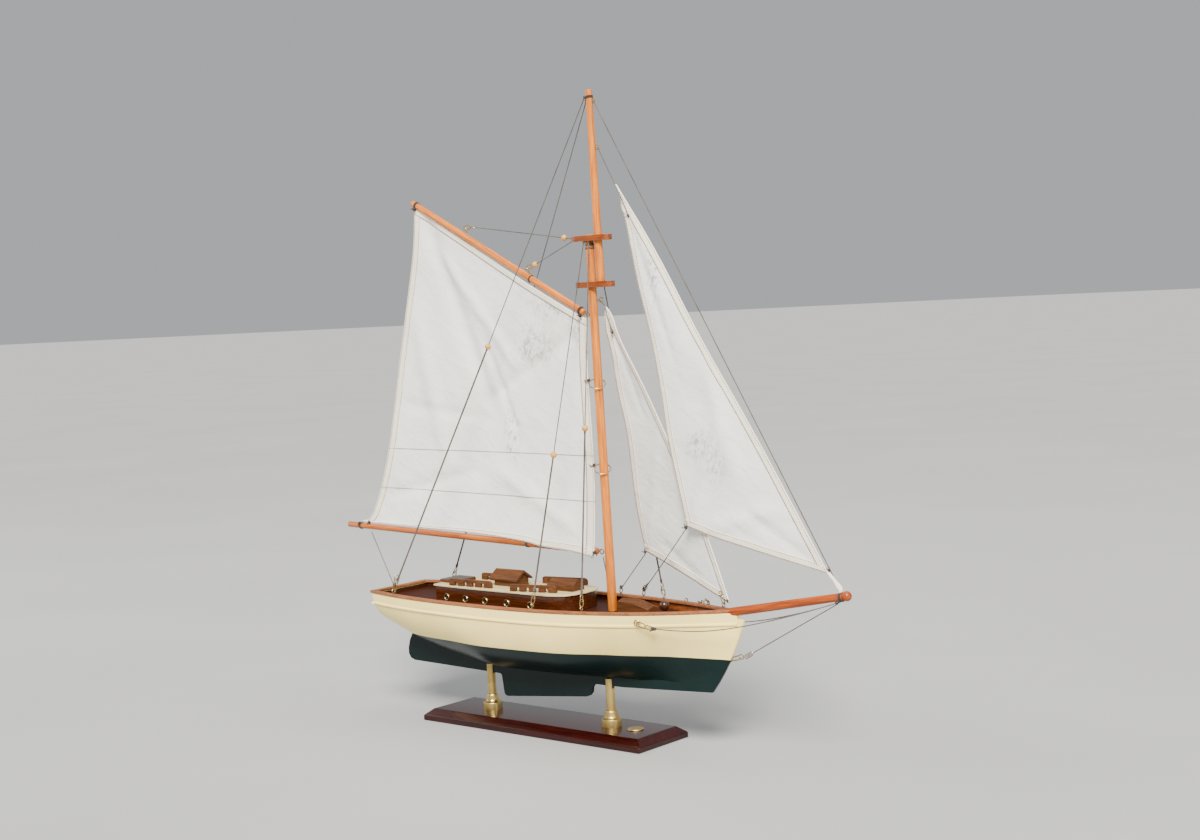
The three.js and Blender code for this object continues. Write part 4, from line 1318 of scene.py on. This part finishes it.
def build_mainsail():
    sail = Sail(
        head=[(-143.4, 0, 488.6), (-90, 0, 459.2), (-30, 0, 425.0), (20, 0, 398.4), (66.4, 0, 375.4)],
        foot=[
            (-242.9, -0.4, 183.2), (-230.5, 0, 181.6), (-164.9, -0.6, 179.6), (-87.1, -1, 177.4),
            (-25.6, -2.6, 173.4), (2.2, -3.8, 169.6), (36.1, -4.2, 167), (64.5, -4.2, 162.8),
        ],
        leech=[
            (-143.4, 0, 488.6), (-148.6, 0, 446.8), (-161.2, 0, 395.8), (-177.2, 0, 335.6),
            (-184.8, 0, 303.9), (-197.7, 0, 256.3), (-210.7, 0, 220.6), (-228.1, 0, 188.2),
            (-242.9, -0.4, 183.2),
        ],
        luff=[
            (66.4, 0, 375.4), (65.6, -0.4, 330), (67, -0.8, 286.2), (68.3, -1.4, 239.7),
            (67.6, -2.6, 200), (66.6, -3.6, 175.5), (64.5, -4.2, 162.8),
        ],
        fullness=3.2,
        folds=[
            ((-128, 470), (-60, 300), 9, 1.5),
            ((-110, 440), (-20, 330), 6, -0.9),
            ((-60, 350), (-25, 270), 4, 1.0),
            ((50, 362), (-70, 300), 6, 0.9),
            ((-150, 380), (-120, 250), 10, -1.1),
            ((-200, 210), (-90, 235), 6, 0.8),
            ((40, 190), (-60, 240), 8, -0.9),
            ((-175, 300), (-60, 285), 5, 0.5),
        ],
        fold_scale=2.6,
    )
    hems = [
        ("leech", 8, 0, 1),
        ("luff", 10, 0, 1),
        ("head", 6.5, 0, 1),
        ("foot", 7.5, 0.02, 1),
    ]
    seams = [
        ("leech", 7.2, 0.02, 0.97),
        ("leech", 1.2, 0.0, 0.97),
        ("luff", 9.2, 0.02, 0.98),
        ("luff", 1.4, 0.0, 1.0),
        ("head", 5.8, 0.03, 0.96),
        ("foot", 6.7, 0.05, 0.97),
        ("foot", 1.2, 0.03, 0.99),
    ]
    corners = [(0.022, 0.018), (0.97, 0.014), (0.975, 0.985), (0.02, 0.992)]
    build_sail(
        "mainsail", sail, "main_rig", hems, seams, corners,
    )
    build_reef_lines(sail)


def line_across(sail, leech_z, luff_z):
    """The line across the sail whose height goes evenly from one edge to the other."""
    result = []
    for across in shares(0, 1, 120):
        want = leech_z + (luff_z - leech_z) * across
        low, high = 0.0, 1.0
        for _ in range(30):
            middle = (low + high) / 2
            if sail.flat(across, middle).z > want:
                low = middle
            else:
                high = middle
        result.append(sail.at(across, (low + high) / 2))
    return result


def build_reef_lines(sail):
    parts = []
    for leech_z, luff_z in ((256.4, 253.7), (217.5, 212.8)):
        parts += stitches(line_across(sail, leech_z, luff_z), 2.4, 0.5, 0.3, 1.35)
    thread_lines = make("mainsail_reef_lines", *together(parts), THREAD, "main_rig", smooth=False)


def build_jib():
    y = -1.6
    sail = Sail(
        head=[(108.2, y, 491.2), (109.6, y, 490.6)],
        foot=[(170.2, y, 195), (205, y - 0.3, 185.6), (260, y - 0.3, 173.6), (311.2, y + 1.2, 162.4)],
        leech=[
            (108.2, y, 491.2), (112.6, y, 479.9), (114, y, 468), (117.3, y, 460.6), (127, y, 410),
            (139.6, y, 358.2), (148, y, 312), (154.2, y, 266.4), (170.2, y, 195),
        ],
        luff=[
            (109.6, y, 490.6), (123.4, y, 470.5), (138.7, y, 448.1), (159.5, y, 414.8), (195, y, 353.8),
            (237.9, y, 286.7), (277.7, y, 221.2), (311.2, y + 1.2, 162.4),
        ],
        fullness=-3.0,
        folds=[
            ((178, 205), (215, 290), 7, -1.1),
            ((200, 196), (270, 214), 7, -0.9),
            ((120, 465), (165, 340), 4, 0.7),
            ((200, 330), (225, 240), 8, -0.9),
            ((290, 175), (235, 210), 5, 0.7),
        ],
        fold_scale=2.0,
    )
    hems = [("leech", 7, 0, 1), ("luff", 8, 0, 1), ("foot", 7.5, 0, 1)]
    seams = [
        ("leech", 6.3, 0.06, 0.98),
        ("leech", 1.2, 0.02, 0.99),
        ("luff", 7.2, 0.06, 0.98),
        ("luff", 1.3, 0.02, 0.99),
        ("foot", 6.6, 0.03, 0.97),
        ("foot", 1.2, 0.02, 0.98),
    ]
    build_sail(
        "jib", sail, "jib", hems, seams, [(0.5, 0.055), (0.025, 0.985), (0.975, 0.985)],
        columns=40, rows=130,
    )


def build_staysail():
    sail = Sail(
        head=[(89, 0.4, 385.4), (90.6, 0, 384.8)],
        foot=[(97.6, 30, 165.8), (125, 23, 157.6), (165, 12, 145.6), (210.8, 0, 131.2)],
        leech=[
            (89, 0.4, 385.4), (86.2, 1.6, 374), (86, 3.4, 362.8), (88.5, 6, 345), (89, 11, 312.2),
            (94.1, 15.3, 272.8), (92.7, 24.7, 212.1), (97.6, 30, 165.8),
        ],
        luff=[
            (90.6, 0, 384.8), (96.6, 0, 376.5), (105.1, 0, 354.7), (131, 0, 310), (154.1, 0, 264.8),
            (175, 0, 222), (191.7, 0, 182.4), (210.8, 0, 131.2),
        ],
        fullness=1.6,
        folds=[
            ((105, 175), (135, 260), 6, -0.9),
            ((95, 360), (120, 290), 4, 0.6),
            ((170, 150), (125, 175), 5, 0.7),
        ],
        fold_scale=1.6,
    )
    hems = [("leech", 7, 0, 1), ("luff", 7.5, 0, 1), ("foot", 7, 0, 1)]
    seams = [
        ("leech", 6.3, 0.08, 0.98),
        ("leech", 1.2, 0.03, 0.99),
        ("luff", 6.8, 0.08, 0.98),
        ("luff", 1.3, 0.03, 0.99),
        ("foot", 6.2, 0.04, 0.96),
        ("foot", 1.2, 0.03, 0.97),
    ]
    build_sail(
        "staysail", sail, "staysail", hems, seams, [(0.5, 0.08), (0.035, 0.98), (0.96, 0.975)],
        columns=36,
    )


# ------------------------------------------------------------------ rigging
STRAND = 0.45
STAY = 0.46  # the stays' radius, and how far each half of a doubled strand lies from the middle
EYE_RADIUS = 1.85
EYE_WIRE = 0.46
SHANK = 0.55
BEAD_RADIUS = 2.9
BEAD_HOLE = 0.7
HOOK_LENGTH = 13.0
HOUNDS_Z = 443.2
TRUCK_Z = 569.0
SHROUDS = {
    "starboard_fore_shroud": ((77.3, -4.6, HOUNDS_Z), (81.6, -42.8, 125.5), 280.2),
    "starboard_aft_shroud": ((71.4, -4.6, HOUNDS_Z), (29, -48.6, 125.5), 257.0),
    "port_fore_shroud": ((77.3, 4.6, HOUNDS_Z), (109, 38.6, 125.5), 280.2),
    "port_aft_shroud": ((71.4, 4.6, HOUNDS_Z), (42.5, 47.4, 125.5), 257.0),
    "starboard_backstay": ((78, -1.8, TRUCK_Z), (-156, -42.6, 125), 354.0),
    "port_backstay": ((78, 1.8, TRUCK_Z), (-160, 42.6, 125), 354.0),
}


def doubled(start, end):
    """Two strands lying side by side."""
    beside = (end - start).cross(Vector((0, 1, 0.2))).normalized() * STAY
    parts = []
    for sign in (1, -1):
        path = [start.lerp(end, t) + beside * sign for t in shares(0, 1, 10)]
        parts.append(sweep(path, STRAND * 0.92, 8))
    return parts


def bead_shape(centre, direction):
    """A slightly flattened bead with a hole through it along direction."""
    reach = math.acos(BEAD_HOLE / BEAD_RADIUS)
    profile = []
    for k in range(15):
        a = -reach + 2 * reach * k / 14
        profile.append((BEAD_RADIUS * math.cos(a), BEAD_RADIUS * math.sin(a) * 0.94))
    profile.append(profile[0])
    return lathe_ring(profile, centre, direction, 32)


def build_shroud(name, top, bottom, bead_z):
    """A single strand down to a bead, a doubled one below it, then two hooks and an eye in the rail."""
    top = Vector(top)
    bottom = Vector(bottom)
    bead_at = top.lerp(bottom, (top.z - bead_z) / (top.z - bottom.z))
    down = (bottom - top).normalized()
    hook_top = bottom - down * (HOOK_LENGTH - 2)
    strands = [sweep([top.lerp(bead_at, k / 8) for k in range(9)], STRAND, 8)]
    strands += doubled(bead_at, hook_top)
    strands.append(coil(top, (0.05, 0, 1), 0.9, 0.34, 2.5, 0.7))
    strands.append(coil(hook_top - down * 2.2, down, 0.85, 0.38, 4, 0.6))
    line = make(name + "_line", *together(strands), THREAD, "ship")
    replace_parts(line, name)
    bead = make(name + "_wooden_bead", *bead_shape(bead_at, down), BEAD_WOOD, "ship")
    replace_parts(bead, name + "_bead")
    eye_at = bottom + down * 1.2
    wire = [
        *hook_pair(hook_top, bottom),
        ring(eye_at, (1, 0.2, 0), 1.9, 0.45),
        sweep([eye_at + Vector((0, 0, -1.9)), eye_at + Vector((0, 0, -5.5))], SHANK, 8),
    ]
    make(name + "_hook", *together(wire), FINE_BRASS, "ship")


def thread_piece(name, points, node, body="ship", radius=STRAND):
    """A thread along the points, which rides on a body and stands for a CAD node where they are given."""
    piece = make(name, *sweep(smooth_path(points, 10), radius, 8), THREAD)
    if body:
        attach(piece, body)
    if node:
        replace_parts(piece, node)
    return piece


def screw_eye(at, shank, facing):
    """A small brass ring on a shank that goes down into the wood."""
    foot = Vector(at) - Vector((0, 0, EYE_RADIUS))
    return [ring(at, facing, EYE_RADIUS, EYE_WIRE), sweep([foot, foot - Vector((0, 0, shank))], SHANK, 8)]


def build_stays():
    thread_piece("forestay_line", [(85.8, 0, 566), (321.6, 0, 149.6)], "forestay", radius=STAY)
    tip = bowsprit_at(322.4)
    collar = coil(tip, (1, 0, BOWSPRIT_SLOPE), 3.75, 0.42, 3, 0.85)
    make("bowsprit_lashing", *collar, KNOT, "ship")
    bob = [(319, 0, 138.6), (226, 0, 87.2)]
    thread_piece("bobstay_line", bob, "bobstay", radius=STAY)
    down = (Vector(bob[1]) - Vector(bob[0])).normalized()
    end = Vector(bob[1])
    hooks = [
        link(end - down * 7, end + down * 2, 1.5, 0.46, (0, 1, 0)),
        ring((220.6, 0, 86.4), (0, 1, 0.3), 2.1, 0.5),
        link((219.5, 0, 86), (211, 0, 83.6), 1.6, 0.5, (0, 1, 0)),
        ring((208.8, 0, 83), (0, 1, 0.1), 1.9, 0.5),
        sweep([(208.2, 0, 83), (201, 0, 82)], 0.6, 8),
    ]
    make("bobstay_hook", *together(hooks), FINE_BRASS, "ship")


BOWSPRIT_SHROUD = [
    (152, 32.4, 110.2), (176, 27.9, 109.6), (203.4, 23, 110.9), (237.3, 17.1, 116.7), (278.5, 9.9, 127),
    (317.5, 3.4, 138.8),
]


def build_bowsprit_shrouds():
    for side, word in ((PORT, "port"), (STARBOARD, "starboard")):
        route = [(x, side * y, z) for x, y, z in BOWSPRIT_SHROUD]
        thread_piece(word + "_bowsprit_shroud_line", route, word + "_bowsprit_shroud", radius=STAY)
        start = Vector(route[0])
        eye = Vector((136.5, side * 34.9, 114.6))
        hook = Vector((145.0, side * 34.0, 111.6))
        wire = [
            ring(eye, (0.25, side, 0), 2.2, 0.55),
            sweep([eye + Vector((0, -side * 0.5, 0)), eye + Vector((0, -side * 5.0, 0))], 0.6, 8),
            link(eye + Vector((0.5, side * 0.3, -0.2)), hook, 1.9, 0.55, (0, 1, 0)),
            link(hook, start, 1.8, 0.55, (0, 1, 0.3)),
        ]
        make(word + "_bowsprit_shroud_hook", *together(wire), FINE_BRASS, "ship")
        tie = [coil(start + Vector((1.5, 0, 0)), (1, -side * 0.2, 0), 1.0, 0.42, 5, 0.62)]
        tie += knot(start + Vector((0.5, side * 0.4, 0)), 1.9, (1, 0, 0.4))
        make(word + "_bowsprit_shroud_knot", *together(tie), KNOT, "ship")


# Lines from a moving body, at their first point, to the ship, at their last.
CROSSINGS = {
    "peak_halyard_outer": ("main_rig", [(-64.7, 0, 464.6), (54.8, 0, 447)]),
    "peak_halyard_inner": ("main_rig", [(5, 0, 425), (54.8, 0, 445)]),
    "mainsheet": ("main_rig", [(-228, -1.4, 172.4), (-158.4, -39.6, 128)]),
    "jib_sheet": ("jib", [(168.4, -1.6, 192.6), (124, 18.4, 156.2), (82, 43, 127)]),
    "staysail_sheet": ("staysail", [(95.4, 31.2, 162.6), (54, 45.4, 127)]),
    "jib_halyard": ("jib", [(106, 0, 491.8), (88.6, 0, 525)]),
    "staysail_halyard": ("staysail", [(88.2, 0, 387), (82.4, 0, 392)]),
}


def build_running_rigging():
    for node, (moving, points) in CROSSINGS.items():
        line = thread_piece(node + "_line", points, node, None)
        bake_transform(line)
    thread_piece("main_tack_line_strand", [(71.4, 1.4, 163), (75.4, 7.6, 117)], "main_tack_line")


def build_halyard_fittings():
    """Eyes and hooks on the gaff, the peak halyard's two beads, and the halyard eyes on the masts."""
    gaff_eyes = []
    for x, z in ((-77.5, 464.6), (-1.2, 423.6)):
        gaff_eyes.append(ring((x, 0, z), (0, 1, 0), 1.8, EYE_WIRE))
        gaff_eyes.append(sweep([(x + 0.6, 0, z - 1.8), (x + 2.6, 0, z - 5.4)], SHANK, 8))
    gaff_eyes += hook_pair((-77.4, 0, 465.4), (-64.4, 0, 464.6), 1.6, 0.44, (0, 1, 0.1))
    gaff_eyes.append(link((-2, 0, 424.2), (5.4, 0, 425.2), 1.5, 0.44, (0, 1, 0.1)))
    make("gaff_eyes", *together(gaff_eyes), FINE_BRASS, "main_rig")
    for word, centre, direction, body in (
        ("outer", (45, 0, 448.4), (1, 0, -0.147), "ship"),
        ("inner", (8.4, 0, 426.4), (1, 0, 0.402), "main_rig"),
    ):
        make("peak_halyard_bead_" + word, *bead_shape(centre, direction), BEAD_WOOD, body)
    mast_eyes = []
    for x, z, reach in ((88.6, 525, 6), (84.6, 391.6, 5), (86, 566, 5)):
        mast_eyes.append(ring((x, 0, z), (0, 1, 0), 2.2, 0.52))
        mast_eyes.append(sweep([(x - 2.2, 0, z), (x - reach, 0, z)], SHANK, 8))
    make("mast_eyes", *together(mast_eyes), FINE_BRASS, "ship")


# Centre of each eye, length of its shank and the way its ring faces.
RAIL_EYES = (
    ((82, 43.4, 124.6), 4.5, (1, 0, 0)),
    ((52.6, 46.6, 124.4), 4.5, (1, 0, 0)),
    ((138, 33.6, 123.4), 3, (1, 0, 0)),
    ((160, 28.6, 124), 3, (0.4, 1, 0.3)),
    ((164.6, 27, 124.4), 3, (1, -0.4, 0.2)),
    ((169, 25.6, 124.4), 3, (0.7, 1, 0)),
    ((-158, -38.6, 126), 4.5, (1, 0, 0)),
    ((204, 0, 129.6), 3, (1, 0, 0)),
)


def build_rail_eyes():
    """Screw eyes for the sheets and the staysail's tack, the spare eyes and the loose rings."""
    rail_eyes = []
    for at, shank, facing in RAIL_EYES:
        rail_eyes += screw_eye(at, shank, facing)
    rail_eyes.append(ring((166.6, 26, 127), (0.5, 0.4, 1), EYE_RADIUS, EYE_WIRE))
    rail_eyes.append(ring((156, 29.4, 123.6), (0.3, 0.8, 1), 1.7, 0.42))
    rail_eyes.append(ring((-152.6, -41.6, 137), (1, -0.8, 0.2), 2.2, 0.5))
    rail_eyes.append(link((-153.2, -41.2, 135.6), (-157.6, -39.4, 127.6), 1.6, 0.45, (1, -0.8, 0.2)))
    rail_eyes += hook_pair((82, 43, 127.4), (93, 37.2, 136), 1.6, 0.42, (0, 1, 0.4))
    make("rail_eyes", *together(rail_eyes), FINE_BRASS, "ship")


def build_tack_hook():
    """The ring and hook that hold the staysail's tack to its eye on the foredeck."""
    tack_hook = [
        ring((202.2, -1.4, 139.2), (0.2, 1, 0.1), 1.9, 0.45),
        link((203, -1.2, 137.6), (205, -0.6, 130.6), 1.5, 0.42, (0.2, 1, 0)),
    ]
    make("staysail_tack_hook", *together(tack_hook), FINE_BRASS, "staysail")


def build_lashings():
    """Thread wound round the spars and the masts."""
    boom_axis = Vector(BOOM[1]) - Vector(BOOM[0])
    gaff_axis = Vector(GAFF[1]) - Vector(GAFF[0])
    wraps = [
        coil((-243.5, 0, 178), boom_axis, 3.15, 0.42, 3, 0.85),
        coil((-17.5, 0, 170.8), boom_axis, 3.2, 0.42, 4, 0.85),
        coil((-140.5, 0, 489.9), gaff_axis, 3.2, 0.42, 3, 0.85),
        coil((2.5, 0, 413.8), gaff_axis, 3.35, 0.4, 2, 0.8),
        coil((60.5, 0, 383), gaff_axis, 3.35, 0.42, 3, 0.85),
    ]
    make("spar_lashings", *together(wraps), KNOT, "main_rig")
    masthead = coil((topmast_x(TRUCK_Z), 0, TRUCK_Z), (-0.02, 0, 1), 3.25, 0.38, 3, 0.78)
    make("masthead_lashing", *masthead, KNOT, "ship")
    for word, z in (("upper", 440.6), ("lower", 437.8)):
        band = coil((lower_mast_x(z), 0, z), (-MAST_RAKE, 0, 1), 4.15, 0.4, 2, 0.8)
        make("hounds_lashing_" + word, *band, THREAD, "ship")


# Tied bundles: body, centre, size and the way the line runs through them.
KNOTS = {
    "peak": ("main_rig", (-141.7, -2.4, 486.6), 1.9, (1, 0, -0.5)),
    "throat": ("main_rig", (62, -3.4, 378.6), 1.8, (1, 0, -0.5)),
    "main_tack": ("main_rig", (66, -4, 167.6), 1.9, (0.2, 0, 1)),
    "main_clew": ("main_rig", (-231, -1.4, 181.5), 1.8, (1, 0, 0.3)),
    "boom_end": ("main_rig", (-243.5, -3, 180.6), 1.6, (1, 0, 0.4)),
    "jib_clew": ("jib", (169.6, -2.6, 194.4), 1.8, (0.5, 0.6, -0.6)),
    "jib_head": ("jib", (122.4, -3.0, 463.0), 1.4, (0.4, 0, -1)),
    "staysail_clew": ("staysail", (96.8, 30, 164.8), 1.6, (0.5, 0.4, -0.8)),
    "staysail_head": ("staysail", (95.4, 0.2, 362.6), 1.3, (0.4, 0, -1)),
    "jib_tack": ("ship", (312.4, -0.9, 165.6), 1.4, (0.6, 0, -1)),
    "staysail_tack": ("staysail", (208.6, 0.2, 133.2), 1.7, (0.6, 0, -1)),
    "masthead": ("ship", (80.6, -2.4, 568.4), 1.8, (0, 0, 1)),
    "bowsprit_end": ("ship", (321.6, -2.6, 141.6), 2.0, (1, 0, 0.2)),
    "port_rail": ("ship", (82, 43.6, 128.4), 1.7, (0.6, -0.4, 0.5)),
    "port_rail_aft": ("ship", (52.8, 46.4, 128.2), 1.6, (0.4, -0.2, 0.6)),
    "mainsheet": ("ship", (-158, -39.8, 129.4), 1.8, (-0.6, 0.3, 0.5)),
}


def build_knots():
    for word, (body, centre, size, along) in KNOTS.items():
        make(word + "_knot", *together(knot(centre, size, along)), KNOT, body)


def build_cloth_ties():
    """Lines tied through the sails' heads, and the jib's tack twisted and tied to the bowsprit's end."""
    for word, place in (
        ("jib", [(108.4, -2.3, 491), (114.6, -3.1, 479.6), (122.4, -3.0, 463.4)]),
        ("staysail", [(89.4, -0.5, 385), (91, -0.4, 377.4), (95.4, -0.2, 363)]),
    ):
        thread_piece(word + "_head_line", place, None, word, radius=0.4)
    tack = [
        (310.4, -0.6, 164.3), (314.7, -0.8, 159.6), (319.3, -0.9, 154.5), (322, -0.8, 150.4),
        (321.6, -0.6, 147.6),
    ]
    make("jib_tack_tie", *twisted_cloth(tack, 4.6, 1.5, 0.6), HEM_CLOTH, "ship")


def build_rigging():
    for name, (top, bottom, bead_z) in SHROUDS.items():
        build_shroud(name, top, bottom, bead_z)
    build_stays()
    build_bowsprit_shrouds()
    build_running_rigging()
    build_halyard_fittings()
    build_rail_eyes()
    build_tack_hook()
    build_lashings()
    build_knots()
    build_cloth_ties()


# ------------------------------------------------------------------ studio, in metres
FLOOR_HALF = 45.0
FLOOR_GAP = 0.0002


def area_light(name, place, target, size, power, colour=(1, 1, 1)):
    data = bpy.data.lights.new(name, "AREA")
    data.shape = "RECTANGLE"
    data.size, data.size_y = size
    data.energy = power
    data.color = colour
    lamp = bpy.data.objects.new(name, data)
    bpy.context.collection.objects.link(lamp)
    lamp.location = place
    lamp.rotation_mode = "QUATERNION"
    lamp.rotation_quaternion = (Vector(target) - Vector(place)).to_track_quat("-Z", "Y")


def build_floor():
    half = FLOOR_HALF
    below = -FLOOR_GAP
    corners = [(-half, -half, below), (half, -half, below), (half, half, below), (-half, half, below)]
    floor = make("studio_floor", corners, [(0, 1, 2, 3)], studio_floor_look(), smooth=False, scale=1.0)


def build_air():
    """Even pale light from all round."""
    world = bpy.data.worlds.new("studio_air")
    world.use_nodes = True
    background = world.node_tree.nodes["Background"]
    background.inputs["Color"].default_value = (0.92, 0.94, 0.96, 1)
    background.inputs["Strength"].default_value = 0.5
    bpy.context.scene.world = world


def build_lights():
    data = bpy.data.lights.new("key_light", "SUN")
    data.energy = 10.2
    data.angle = math.radians(24)
    data.color = (1, 0.96, 0.88)
    key = bpy.data.objects.new("key_light", data)
    bpy.context.collection.objects.link(key)
    key.rotation_mode = "QUATERNION"
    key.rotation_quaternion = Vector((-0.95, 1.3, -1.5)).to_track_quat("-Z", "Y")
    area_light("side_light", (-2.0, -0.7, 1.1), (0, 0, 0.27), (1.0, 1.4), 15, (0.96, 0.98, 1))
    area_light("bow_light", (2.2, -0.2, 0.9), (0, 0, 0.25), (0.9, 1.2), 13)
    area_light("top_light", (0.1, 0.5, 2.3), (0, 0, 0.25), (1.2, 1.2), 20)


def studio_floor_look():
    """Plain pale paper."""
    look = Look("studio_floor_paper", 0.75)
    clouds = look.noise(look.place((400, 400, 400)), 3, 0.5)
    look.colour(look.ramp(clouds, [(0.3, (0.32, 0.325, 0.33)), (0.7, (0.345, 0.35, 0.355))]))
    return look.material


build_stand()
build_hull()
build_cap_rail()
build_cabin()
build_spars()
build_spar_fittings()
build_mainsail()
build_jib()
build_staysail()
build_rigging()
build_floor()
build_air()
build_lights()
